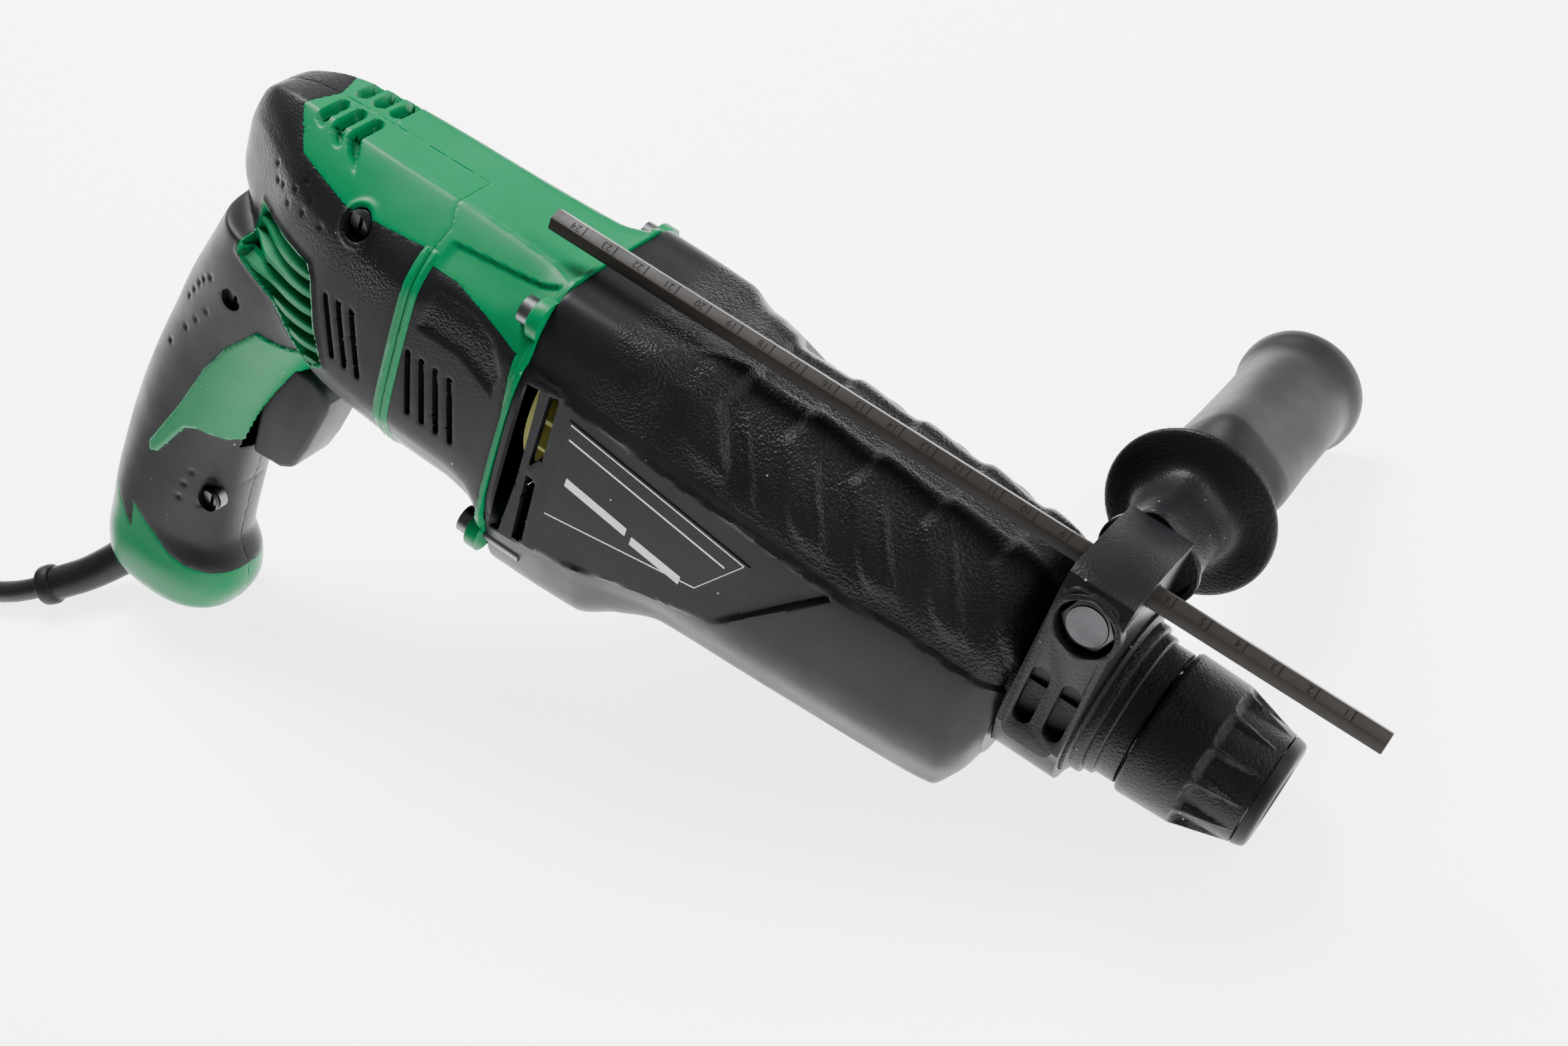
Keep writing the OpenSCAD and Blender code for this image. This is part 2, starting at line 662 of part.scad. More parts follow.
module cord_tail() color("#202124") on_ground()
    sweep(tail_route, [for (p = tail_route) cord_d / 2], 8);

// Places a piece of the plug, drawn along +Z from its back end, as the plug lies
module on_plug() {
    translate([plug_at[0], plug_at[1], plug_at[2]]) rotate([0, 90 - plug_tilt, 0]) children();
}

module mains_plug() color("#202124") on_ground() on_plug()
    rotate_extrude() polygon([[0, 0], [6.3, 0], [7, 14], [10.5, 22], [14.8, 27], [17.5, 34], [17.5, 46], [0, 46]]);

module plug_pins() color(steel) on_ground() on_plug()
    for (s = [-1, 1])
        translate([0, 9.5 * s, 46]) cylinder(r = 2.4, h = 19);

motor_housing();
motor_skin();
handle_cover();
grip_skin_right();
grip_skin_left();
gear_case();
label_plate();
bearing_plate();
trigger();
lock_button();
reversing_lever();
switch_body();
mode_lever();
gear_screw_1();
gear_screw_2();
gear_screw_3();
gear_screw_4();
cover_screw_1();
cover_screw_2();
cover_screw_3();
tool_holder();
front_cap();
chuck_sleeve();
sleeve_spring();
locking_ball_1();
locking_ball_2();
hammer_cylinder();
spindle_gear();
spindle_bearing();
spindle_seal();
impact_bolt();
striker();
piston();
countershaft();
drive_gear();
drive_clutch();
wobble_hub();
wobble_ring();
counter_bearing_front();
counter_bearing_rear();
rotor_shaft();
rotor_core();
commutator();
fan();
rotor_bearing_front();
rotor_bearing_rear();
stator();
brush_holder_left();
brush_holder_right();
clamp_holder();
clamp_bolt();
handle_stem();
side_grip();
depth_gauge();
cord_guard();
mains_cord();
cord_coil();
cord_tail();
mains_plug();
plug_pins();
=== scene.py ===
"""Looks of the rotary hammer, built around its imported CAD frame."""
import json
import math

import bmesh
import bpy
import numpy as np
from mathutils import Matrix, Vector


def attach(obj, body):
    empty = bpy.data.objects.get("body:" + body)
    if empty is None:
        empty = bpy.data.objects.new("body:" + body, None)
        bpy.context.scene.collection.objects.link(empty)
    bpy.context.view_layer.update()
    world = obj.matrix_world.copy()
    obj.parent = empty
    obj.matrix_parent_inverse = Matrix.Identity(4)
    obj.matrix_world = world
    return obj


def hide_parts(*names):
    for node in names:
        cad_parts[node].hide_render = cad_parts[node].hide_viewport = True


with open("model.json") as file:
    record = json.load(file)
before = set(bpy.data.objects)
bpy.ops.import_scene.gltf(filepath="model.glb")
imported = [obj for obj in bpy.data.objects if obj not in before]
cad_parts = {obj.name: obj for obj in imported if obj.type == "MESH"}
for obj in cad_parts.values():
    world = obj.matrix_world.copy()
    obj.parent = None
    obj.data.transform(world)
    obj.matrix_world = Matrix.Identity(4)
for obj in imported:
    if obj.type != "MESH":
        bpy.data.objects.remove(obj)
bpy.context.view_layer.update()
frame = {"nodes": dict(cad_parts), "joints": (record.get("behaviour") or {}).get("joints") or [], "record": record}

MM = 0.001

# -------- the tool's own axes
# The shank bore points along the tool, and the lock button presses to the tool's right.
record = frame["record"]
bore = next(m for m in record["mounts"] if m["name"] == "tool_bore")
press = next(j for j in frame["joints"] if j["name"] == "lock_press")
BORE_POINT_X = -3.0
forward = np.array(bore["axis"]) / np.linalg.norm(bore["axis"])
left = -np.array(press["axis"]) / np.linalg.norm(press["axis"])
upward = np.cross(forward, left)
AXES = np.array([forward, left, upward])
NOSE = np.array(bore["pos_m"]) - BORE_POINT_X * MM * forward
GROUND = Vector((NOSE[0], NOSE[1], 0.0))


def to_row(points):
    """Points in the tool's axes, in mm, as points in the row frame, in metres."""
    return np.asarray(points, float) @ AXES * MM + NOSE


def new_object(name, data):
    """A new object in the scene."""
    made = bpy.data.objects.new(name, data)
    bpy.context.scene.collection.objects.link(made)
    return made


# -------- camera
CAMERA_FROM_NOSE = Vector((0.25064, -0.26520, 0.5405))
CAMERA_RIGHT = Vector((0.7545, 0.5831, -0.3013)).normalized()
CAMERA_UP = Vector((-0.2991, 0.7140, 0.6331)).normalized()
LENS_MM = 56.807


def make_camera():
    data = bpy.data.cameras.new("camera")
    data.lens = LENS_MM
    data.sensor_width = 36.0
    data.clip_start, data.clip_end = 0.02, 20.0
    camera = new_object("camera", data)
    back = CAMERA_RIGHT.cross(CAMERA_UP).normalized()
    up = back.cross(CAMERA_RIGHT)
    turn = Matrix((CAMERA_RIGHT, up, back)).transposed()
    camera.matrix_world = Matrix.Translation(GROUND + CAMERA_FROM_NOSE) @ turn.to_4x4()
    bpy.context.scene.camera = camera


make_camera()


# -------- materials
def new_material(name, base, roughness, metallic=0.0):
    """A material, its node tree, its shader and a source of position."""
    material = bpy.data.materials.new(name)
    material.use_nodes = True
    tree = material.node_tree
    shader = tree.nodes["Principled BSDF"]
    shader.inputs["Base Color"].default_value = (*base, 1.0)
    shader.inputs["Roughness"].default_value = roughness
    shader.inputs["Metallic"].default_value = metallic
    shader.inputs["Specular IOR Level"].default_value = 0.1
    coordinates = tree.nodes.new("ShaderNodeTexCoord")
    return material, tree, shader, coordinates.outputs["Object"]


def node(tree, kind, links=(), **settings):
    """A node with its settings; numbered or named inputs come as (input, value or socket) pairs."""
    made = tree.nodes.new(kind)
    for key, value in settings.items():
        setattr(made, key, value)
    for key, value in links:
        if isinstance(value, bpy.types.NodeSocket):
            tree.links.new(value, made.inputs[key])
        else:
            made.inputs[key].default_value = value
    return made


def noise(tree, position, per_m, detail=3.0, rough=0.5):
    made = node(tree, "ShaderNodeTexNoise", [("Vector", position), ("Scale", per_m), ("Detail", detail),
                                             ("Roughness", rough)])
    return made.outputs["Fac"]


def ramp(tree, value, low, high, to_low, to_high):
    made = node(tree, "ShaderNodeMapRange", [("Value", value), ("From Min", low), ("From Max", high),
                                             ("To Min", to_low), ("To Max", to_high)])
    return made.outputs["Result"]


def math_node(tree, operation, a, b):
    return node(tree, "ShaderNodeMath", [(0, a), (1, b)], operation=operation).outputs[0]


def mix_colour(tree, factor, a, b):
    made = node(tree, "ShaderNodeMix", [(0, factor)], data_type="RGBA")
    for socket, value in ((made.inputs[6], a), (made.inputs[7], b)):
        if isinstance(value, bpy.types.NodeSocket):
            tree.links.new(value, socket)
        else:
            socket.default_value = (*value, 1.0)
    return made.outputs[2]


def bump(tree, shader, height, distance):
    made = node(tree, "ShaderNodeBump", [("Height", height), ("Distance", distance), ("Strength", 1.0)])
    tree.links.new(made.outputs["Normal"], shader.inputs["Normal"])


def patchy(tree, shader, cloud, smooth, rough):
    """Roughness in the patches of a noise, between smooth and rough."""
    tree.links.new(ramp(tree, cloud, 0.3, 0.7, smooth, rough), shader.inputs["Roughness"])


def dust(tree, position, base, pale, amount):
    """Base colour with cloudy variation and sparse pale specks of dust."""
    cloud = ramp(tree, noise(tree, position, 60.0, 4.0), 0.35, 0.7, 0.0, amount)
    tinted = mix_colour(tree, cloud, base, pale)
    cells = node(tree, "ShaderNodeTexVoronoi", [("Vector", position), ("Scale", 210.0)])
    near = ramp(tree, cells.outputs["Distance"], 0.05, 0.09, 1.0, 0.0)
    chosen = ramp(tree, noise(tree, position, 150.0, 1.0), 0.62, 0.66, 0.0, 0.5)
    speck = math_node(tree, "MULTIPLY", near, chosen)
    return mix_colour(tree, speck, tinted, (0.35, 0.35, 0.35))


def plastic(name, base, pale, roughness, grain_mm, depth_mm):
    """Moulded plastic: fine noise grain, cloudy colour and roughness, and specks of dust."""
    material, tree, shader, position = new_material(name, base, roughness)
    tree.links.new(dust(tree, position, base, pale, 0.25), shader.inputs["Base Color"])
    patchy(tree, shader, noise(tree, position, 45.0, 5.0, 0.6), roughness - 0.06, roughness + 0.09)
    grain = noise(tree, position, 1000.0 / grain_mm, 2.0, 0.6)
    bump(tree, shader, grain, depth_mm * MM)
    return material


def leather(name, base, pale, roughness, cell_mm, depth_mm):
    """Plastic moulded with leather grain, as strong as the mesh's own grain attribute says."""
    material, tree, shader, position = new_material(name, base, roughness)
    tree.links.new(dust(tree, position, base, pale, 0.3), shader.inputs["Base Color"])
    patchy(tree, shader, noise(tree, position, 45.0, 5.0, 0.6), roughness - 0.05, roughness + 0.1)
    wander = node(tree, "ShaderNodeTexNoise", [("Vector", position), ("Scale", 900.0), ("Detail", 2.0)])
    shift = node(tree, "ShaderNodeVectorMath", [(0, wander.outputs["Color"]), (1, (0.0007,) * 3)],
                 operation="MULTIPLY")
    moved = node(tree, "ShaderNodeVectorMath", [(0, position), (1, shift.outputs[0])], operation="ADD")
    cells = node(tree, "ShaderNodeTexVoronoi", [("Vector", moved.outputs[0]), ("Scale", 1000.0 / cell_mm),
                                                ("Smoothness", 0.6)], feature="SMOOTH_F1")
    pebble = ramp(tree, cells.outputs["Distance"], 0.1, 0.75, 1.0, 0.0)
    fine = noise(tree, position, 3200.0, 2.0)
    strength = node(tree, "ShaderNodeAttribute", attribute_name="grain").outputs["Fac"]
    coarse = math_node(tree, "MULTIPLY", pebble, strength)
    height = math_node(tree, "ADD", coarse, math_node(tree, "MULTIPLY", fine, 0.16))
    bump(tree, shader, height, depth_mm * MM)
    return material


def metal(name, base, roughness, grain_mm=0.4, depth_mm=0.004):
    """Metal with fine grain, patchy roughness and darker clouds."""
    material, tree, shader, position = new_material(name, base, roughness, 1.0)
    cloud = ramp(tree, noise(tree, position, 120.0, 4.0), 0.35, 0.7, 0.0, 0.35)
    tinted = mix_colour(tree, cloud, base, tuple(0.55 * c for c in base))
    tree.links.new(tinted, shader.inputs["Base Color"])
    patchy(tree, shader, noise(tree, position, 200.0, 4.0), roughness - 0.08, roughness + 0.12)
    bump(tree, shader, noise(tree, position, 1000.0 / grain_mm, 3.0), depth_mm * MM)
    return material


GREEN = (0.0, 0.105, 0.036)
GREEN_PALE = (0.0, 0.13, 0.047)
BLACK = (0.0055, 0.0056, 0.0064)
BLACK_PALE = (0.011, 0.0113, 0.0126)

green_plastic = plastic("green_plastic", GREEN, GREEN_PALE, 0.36, 0.55, 0.018)
black_leather = leather("black_leather", BLACK, BLACK_PALE, 0.40, 0.8, 0.17)
black_smooth = plastic("black_smooth", BLACK, BLACK_PALE, 0.42, 0.5, 0.012)
black_rubber = plastic("black_rubber", BLACK, BLACK_PALE, 0.5, 0.7, 0.02)
control_plastic = plastic("control_plastic", (0.026, 0.026, 0.029), (0.045, 0.045, 0.05), 0.42, 0.5, 0.012)
trigger_grey = plastic("trigger_grey", (0.017, 0.017, 0.019), (0.028, 0.028, 0.031), 0.5, 0.5, 0.012)
grip_rubber = plastic("grip_rubber", (0.011, 0.011, 0.012), (0.022, 0.022, 0.024), 0.52, 0.7, 0.02)
bolt_black = metal("bolt_black", (0.055, 0.055, 0.058), 0.42, 0.5, 0.01)
gauge_plastic = plastic("gauge_plastic", (0.0135, 0.0115, 0.010), (0.024, 0.021, 0.018), 0.45, 0.6, 0.02)
gauge_mark = plastic("gauge_mark", (0.002, 0.002, 0.002), (0.004, 0.004, 0.004), 0.5, 0.5, 0.01)
cord_rubber = plastic("cord_rubber", (0.008, 0.008, 0.009), (0.018, 0.018, 0.02), 0.4, 0.9, 0.02)
label_black = plastic("label_black", (0.006, 0.006, 0.0065), (0.01, 0.01, 0.011), 0.3, 1.5, 0.004)
label_silver = plastic("label_silver", (0.5, 0.5, 0.5), (0.62, 0.62, 0.62), 0.4, 1.5, 0.004)
dark_steel = metal("dark_steel", (0.10, 0.10, 0.105), 0.38)
bright_steel = metal("bright_steel", (0.62, 0.62, 0.63), 0.28)
cast_metal = metal("cast_metal", (0.52, 0.52, 0.54), 0.5, 0.6, 0.02)
copper = metal("copper", (0.72, 0.30, 0.13), 0.35)
brass = metal("brass", (0.7, 0.5, 0.18), 0.32)
laminations = metal("laminations", (0.28, 0.29, 0.30), 0.45)
nickel = metal("nickel", (0.75, 0.74, 0.72), 0.2)
fan_plastic = plastic("fan_plastic", (0.55, 0.55, 0.2), (0.7, 0.68, 0.35), 0.4, 0.6, 0.01)

SLOT_LOOKS = {
    "green_shell": green_plastic, "black_shell": black_smooth, "soft_skin": black_smooth,
    "control_plastic": control_plastic, "plate_blank": label_black, "cast": cast_metal,
    "steel": bright_steel, "dark_steel": dark_steel, "rubber": black_rubber, "copper": copper,
    "laminations": laminations, "fan_plastic": fan_plastic, "brass_fitting": brass,
    "gauge_plastic": gauge_plastic, "cord_sheath": cord_rubber, "nickel": nickel,
}


def dress_cad():
    """Gives every CAD node the procedural material of its slot."""
    slots = {part["node"]: part["material_slot"] for part in record["subparts"]}
    for name, piece in frame["nodes"].items():
        piece.data.materials.clear()
        piece.data.materials.append(SLOT_LOOKS[slots[name]])


dress_cad()


# -------- cord
# Points in mm from the ground below the chuck's tip. The lead climbs on to the coil out of the camera's view.
CORD_D = 0.0075
GUARD_ROUTE = [(-382, -72, 19), (-389, -78, 14.6), (-396, -84.2, 11.2), (-405, -92, 8.6),
               (-414.5, -99.4, 7.4), (-415.5, -100.1, 7.3), (-419, -102.6, 7.2)]
GUARD_RADII = [6.9, 6.5, 6.1, 5.8, 5.7]
LEAD_ROUTE = [(-408, -94.4, 8.2), (-413.5, -98.6, 7.5), (-419, -102.6, 7.2), (-429, -107.8, 5.4),
              (-441, -112.4, 5), (-455, -116.2, 7.6), (-468, -118.4, 11.8), (-482, -119.6, 16.4),
              (-494, -120, 18.9), (-504, -120, 19.5)]
TAIL_ROUTE = [(-564, -180, 4), (-563, -191, 4), (-558.5, -206, 4), (-549.5, -219.5, 4), (-536, -231, 4),
              (-518, -239.5, 4.3), (-497, -243, 6.2)]
COIL_CENTRE = (-514, -170)
COIL_RADII = (33.0, 41.5, 50.0)
COIL_HEIGHTS = (4.0, 11.75, 19.5)
# The cells of the coil's section that its turns fill in order, as (row outwards, layer upwards), and where
# each change of cell is centred, in degrees from +X. A change down or up takes 90 degrees, and one in or
# out 130.
COIL_CELLS = [(2, 2), (2, 1), (1, 1), (1, 2), (0, 2), (0, 1), (0, 0), (1, 0), (2, 0)]
CELL_CHANGES = [380, 710, 1043, 1377, 1710, 2070, 2404, 2764]
COIL_SPAN = (90, 3060)
POINTS_PER_TURN = 30


def coil_route():
    """The turns of the coil, anticlockwise from where the lead lies on it to where the tail leaves it."""
    steps = round((COIL_SPAN[1] - COIL_SPAN[0]) / 360 * POINTS_PER_TURN)
    route = []
    for i in range(steps + 1):
        angle = COIL_SPAN[0] + (COIL_SPAN[1] - COIL_SPAN[0]) * i / steps
        r, z = COIL_RADII[COIL_CELLS[0][0]], COIL_HEIGHTS[COIL_CELLS[0][1]]
        for change, (a, b) in zip(CELL_CHANGES, zip(COIL_CELLS, COIL_CELLS[1:])):
            half = 65 if a[0] != b[0] else 45
            done = min(1.0, max(0.0, (angle - change + half) / (2 * half)))
            done = done * done * (3 - 2 * done)
            r += done * (COIL_RADII[b[0]] - COIL_RADII[a[0]])
            z += done * (COIL_HEIGHTS[b[1]] - COIL_HEIGHTS[a[1]])
        turn = math.radians(angle)
        route.append((COIL_CENTRE[0] + r * math.cos(turn), COIL_CENTRE[1] + r * math.sin(turn), z))
    return route


def on_ground(points):
    """Points in mm from below the chuck's tip, as points in the row frame, in metres."""
    return np.asarray(points, float) * MM + np.array(GROUND)


def catmull_rom(a, b, c, d, t):
    """Point a share t of the way from b to c."""
    return 0.5 * (2 * b + (c - a) * t + (2 * a - 5 * b + 4 * c - d) * t ** 2
                  + (3 * b - a - 3 * c + d) * t ** 3)


def smooth_line(points, parts):
    """Catmull-Rom line through points, with parts pieces to each stretch."""
    p = np.asarray(points, float)
    p = np.concatenate([[2 * p[0] - p[1]], p, [2 * p[-1] - p[-2]]])
    line = []
    for a, b, c, d in zip(p, p[1:], p[2:], p[3:]):
        line += [catmull_rom(a, b, c, d, k / parts) for k in range(parts)]
    return np.array(line + [p[-2]])


def make_cord():
    line = on_ground(smooth_line(LEAD_ROUTE + coil_route() + TAIL_ROUTE, 2))
    data = bpy.data.curves.new("mains_cord_line", "CURVE")
    data.dimensions = "3D"
    data.bevel_depth = CORD_D / 2
    data.bevel_resolution = 4
    data.use_fill_caps = True
    spline = data.splines.new("POLY")
    spline.points.add(len(line) - 1)
    for point, place in zip(spline.points, line):
        point.co = (*place, 1.0)
    cord = new_object("mains_cord_line", data)
    data.materials.append(cord_rubber)
    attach(cord, "housing")
    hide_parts("mains_cord", "cord_coil", "cord_tail")


make_cord()


# -------- stage
FLOOR_GLOW = 3.6


def make_stage():
    floor_data = bpy.data.meshes.new("floor")
    size = 6.0
    floor_data.from_pydata([(-size, -size, 0), (size, -size, 0), (size, size, 0), (-size, size, 0)], [],
                           [(0, 1, 2, 3)])
    floor = new_object("floor", floor_data)
    material, tree, shader, position = new_material("floor_white", (0.92, 0.92, 0.925), 0.45)
    tint = ramp(tree, noise(tree, position, 3.0, 2.0), 0.3, 0.7, 0.0, 1.0)
    white = mix_colour(tree, tint, (0.90, 0.90, 0.905), (0.94, 0.94, 0.945))
    tree.links.new(white, shader.inputs["Base Color"])
    shader.inputs["Emission Color"].default_value = (1.0, 1.0, 1.0, 1.0)
    shader.inputs["Emission Strength"].default_value = FLOOR_GLOW
    floor_data.materials.append(material)


def area_light(name, place, aim, size, power):
    data = bpy.data.lights.new(name, "AREA")
    data.shape = "RECTANGLE"
    data.size, data.size_y = size
    data.energy = power
    light = new_object(name, data)
    light.location = place
    light.rotation_euler = (Vector(aim) - Vector(place)).to_track_quat("-Z", "Y").to_euler()


def make_lights():
    aim = (0.0, 0.0, 0.05)
    area_light("key", (-0.45, 0.55, 1.2), aim, (0.6, 0.5), 50.0)
    area_light("right", (1.25, 0.5, 0.75), aim, (0.6, 0.8), 26.0)
    area_light("rear", (-1.0, 0.35, 1.0), aim, (0.4, 0.4), 16.0)
    world = bpy.data.worlds.new("studio")
    world.use_nodes = True
    world.node_tree.nodes["Background"].inputs["Color"].default_value = (1.0, 1.0, 1.0, 1.0)
    world.node_tree.nodes["Background"].inputs["Strength"].default_value = 0.3
    bpy.context.scene.world = world


make_stage()
make_lights()


# -------- surfaces
def curve_through(knots, values, at):
    """Smooth curve through values at increasing knots, without overshoot, read at the given places."""
    knots, values = np.asarray(knots, float), np.asarray(values, float)
    step = np.diff(knots)
    slope = np.diff(values) / step
    tangent = np.empty(len(knots))
    tangent[0], tangent[-1] = slope[0], slope[-1]
    for i in range(1, len(knots) - 1):
        a, b = slope[i - 1], slope[i]
        tangent[i] = 0.0 if a * b <= 0 else 2 * a * b / (a + b)
    k = np.clip(np.searchsorted(knots, at, side="right") - 1, 0, len(step) - 1)
    t = (at - knots[k]) / step[k]
    h = step[k]
    return ((1 + 2 * t) * (1 - t) ** 2 * values[k] + t * (1 - t) ** 2 * h * tangent[k]
            + t * t * (3 - 2 * t) * values[k + 1] + t * t * (t - 1) * h * tangent[k + 1])


def stations_at(stations, at):
    """Stations between the given ones, at the given places."""
    columns = [curve_through(stations[:, 0], column, at) for column in stations[:, 1:].T]
    return np.stack([at, *columns], axis=1)


def closed_curve(corners, places):
    """Catmull-Rom loop through corners of shape (rings, corners, 2), read at places counted in corners."""
    n = corners.shape[1]
    i = np.floor(places).astype(int)
    t = (places - i)[None, :, None]
    p0, p1, p2, p3 = (corners[:, (i + k) % n] for k in (-1, 0, 1, 2))
    return catmull_rom(p0, p1, p2, p3, t)


def even_places(corners, count):
    """Places along one closed loop of corners, about evenly spaced, with one on the first corner."""
    fine = np.linspace(0, len(corners), 40 * len(corners) + 1)
    line = closed_curve(corners[None], fine % len(corners))[0]
    run = np.concatenate([[0], np.cumsum(np.linalg.norm(np.diff(line, axis=0), axis=1))])
    return np.interp(np.linspace(0, run[-1], count, endpoint=False), run, fine)


def grid_faces(rows, columns, closed=True):
    """Quads of a grid of points, wound so that they face outwards where rows run forwards."""
    j, i = np.meshgrid(np.arange(rows - 1), np.arange(columns if closed else columns - 1), indexing="ij")
    k = (i + 1) % columns
    return np.stack([j * columns + i, j * columns + k, (j + 1) * columns + k, (j + 1) * columns + i],
                    axis=-1).reshape(-1, 4)


def smooth_step(value, low, high):
    t = np.clip((value - low) / (high - low), 0, 1)
    return t * t * (3 - 2 * t)


def polygon_distance(u, v, outline):
    """Signed distance of points to a polygon, below zero inside, and its direction of growth."""
    best = np.full(u.shape, np.inf)
    gu, gv = np.zeros_like(u), np.zeros_like(u)
    inside = np.zeros(u.shape, bool)
    for (au, av), (bu, bv) in zip(outline, outline[1:] + outline[:1]):
        du, dv = bu - au, bv - av
        t = np.clip(((u - au) * du + (v - av) * dv) / (du * du + dv * dv), 0, 1)
        ru, rv = u - au - t * du, v - av - t * dv
        d = np.hypot(ru, rv)
        near = d < best
        best = np.where(near, d, best)
        gu, gv = np.where(near, ru, gu), np.where(near, rv, gv)
        crosses = ((av > v) != (bv > v)) & (u < (v - av) * du / np.where(dv == 0, 1e-9, dv) + au)
        inside ^= crosses
    size = np.maximum(best, 1e-9)
    sign = np.where(inside, -1.0, 1.0)
    return sign * best, sign * gu / size, sign * gv / size


def path_distance(points, path):
    """Distance of points to an open path of points."""
    best = np.full(len(points), np.inf)
    for a, b in zip(path, path[1:]):
        a, b = np.array(a, float), np.array(b, float)
        t = np.clip((points - a) @ (b - a) / ((b - a) @ (b - a)), 0, 1)
        best = np.minimum(best, np.linalg.norm(points - a - t[:, None] * (b - a), axis=1))
    return best


def mirrored(points):
    """Points with the left half folded over on to the right."""
    folded = points.copy()
    folded[:, 1] = -np.abs(folded[:, 1])
    return folded


def vertex_normals(points, faces):
    cross = np.cross(points[faces[:, 2]] - points[faces[:, 0]], points[faces[:, 3]] - points[faces[:, 1]])
    normals = np.zeros_like(points)
    for k in range(4):
        for axis in range(3):
            normals[:, axis] += np.bincount(faces[:, k], cross[:, axis], len(points))
    return normals / np.maximum(np.linalg.norm(normals, axis=1), 1e-12)[:, None]


def face_edges(faces):
    """Every face's four edges, each wound as its face is."""
    return np.concatenate([faces[:, [k, (k + 1) % 4]] for k in range(4)])


def relax(points, faces, rounds, weight=0.5, shrink=True):
    """Laplacian smoothing, with each vertex moved by its weight; without shrink it is Taubin's."""
    edges = np.unique(np.sort(face_edges(faces), axis=1), axis=0)
    count = np.bincount(edges.ravel(), minlength=len(points))[:, None].astype(float)
    w = np.broadcast_to(np.asarray(weight, float), (len(points),))[:, None]
    for step in range(rounds * (1 if shrink else 2)):
        total = np.empty_like(points)
        for axis in range(3):
            total[:, axis] = (np.bincount(edges[:, 0], points[edges[:, 1], axis], len(points))
                              + np.bincount(edges[:, 1], points[edges[:, 0], axis], len(points)))
        factor = w if shrink or step % 2 == 0 else -1.04 * w
        points = points + factor * (total / np.maximum(count, 1) - points)
    return points


def field(points, outline, lean=0.0):
    """Distance to an outline drawn in x and z - lean * |y|, and which way it grows."""
    side = np.sign(points[:, 1])
    d, gu, gv = polygon_distance(points[:, 0], points[:, 2] - lean * np.abs(points[:, 1]), outline)
    return d, np.stack([gu, -lean * side * gv, gv], axis=1)


def slide(points, normals, value, reach, chosen, least=0.15):
    """Slides chosen vertices within reach of a line along the surface on to it.

    The value is the distance to the line and which way it grows. Where the surface faces that way, so that
    sliding would carry a vertex far, it stays."""
    d, grow = value
    flat = grow - (grow * normals).sum(1)[:, None] * normals
    length = (flat * flat).sum(1)
    near = chosen & (np.abs(d) < reach) & (length > least)
    points[near] -= (d[near] / length[near])[:, None] * flat[near]


def as_list(faces):
    return faces.tolist() if isinstance(faces, np.ndarray) else faces


def add_piece(name, points, faces, material, body, slot, nodes=(), grain=None, sharp=35.0):
    """A piece from points in the tool's axes, in mm. It rides on a body and stands for the named nodes."""
    mesh = bpy.data.meshes.new(name)
    mesh.from_pydata(to_row(points).tolist(), [], as_list(faces))
    mesh.validate()
    mesh.materials.append(material)
    if grain is not None:
        layer = mesh.attributes.new("grain", "FLOAT", "POINT")
        layer.data.foreach_set("value", np.asarray(grain, np.float32))
    mesh.shade_smooth()
    mesh.set_sharp_from_angle(angle=math.radians(sharp))
    piece = new_object(name, mesh)
    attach(piece, body)
    if nodes:
        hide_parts(*nodes)


def with_rim(points, normals, faces, keep, depth, round_by=0.22, tuck=0.16):
    """The kept faces alone, their edges rounded a little and turned down into the gap by depth."""
    faces = faces[keep]
    used, inverse = np.unique(faces, return_inverse=True)
    faces = inverse.reshape(-1, 4)
    p, n = points[used].copy(), normals[used]
    pairs = face_edges(faces)
    _, first, number = np.unique(np.sort(pairs, axis=1), axis=0, return_index=True, return_counts=True)
    rim = pairs[first[number == 1]]
    rim_points = np.unique(rim)
    inward = np.zeros_like(p)
    on_rim = np.zeros(len(p), bool)
    on_rim[rim_points] = True
    for a, b in ((0, 1), (1, 0)):
        inner = on_rim[pairs[:, a]] & ~on_rim[pairs[:, b]]
        at, to = pairs[inner, a], pairs[inner, b]
        for axis in range(3):
            inward[:, axis] += np.bincount(at, (p[to] - p[at])[:, axis], len(p))
    size = np.linalg.norm(inward, axis=1)
    inward /= np.maximum(size, 1e-9)[:, None]
    p[on_rim] += tuck * inward[on_rim] - round_by * n[on_rim]
    slot_of = np.full(len(p), -1)
    slot_of[rim_points] = np.arange(len(rim_points))
    rows = [p]
    walls = [faces]
    above = rim
    for level, down in enumerate((0.4 * depth, depth)):
        rows.append(p[rim_points] - down * n[rim_points])
        below = slot_of[rim] + len(p) + level * len(rim_points)
        walls.append(np.stack([above[:, 1], above[:, 0], below[:, 0], below[:, 1]], axis=1))
        above = below
    return np.concatenate(rows), np.concatenate(walls), used


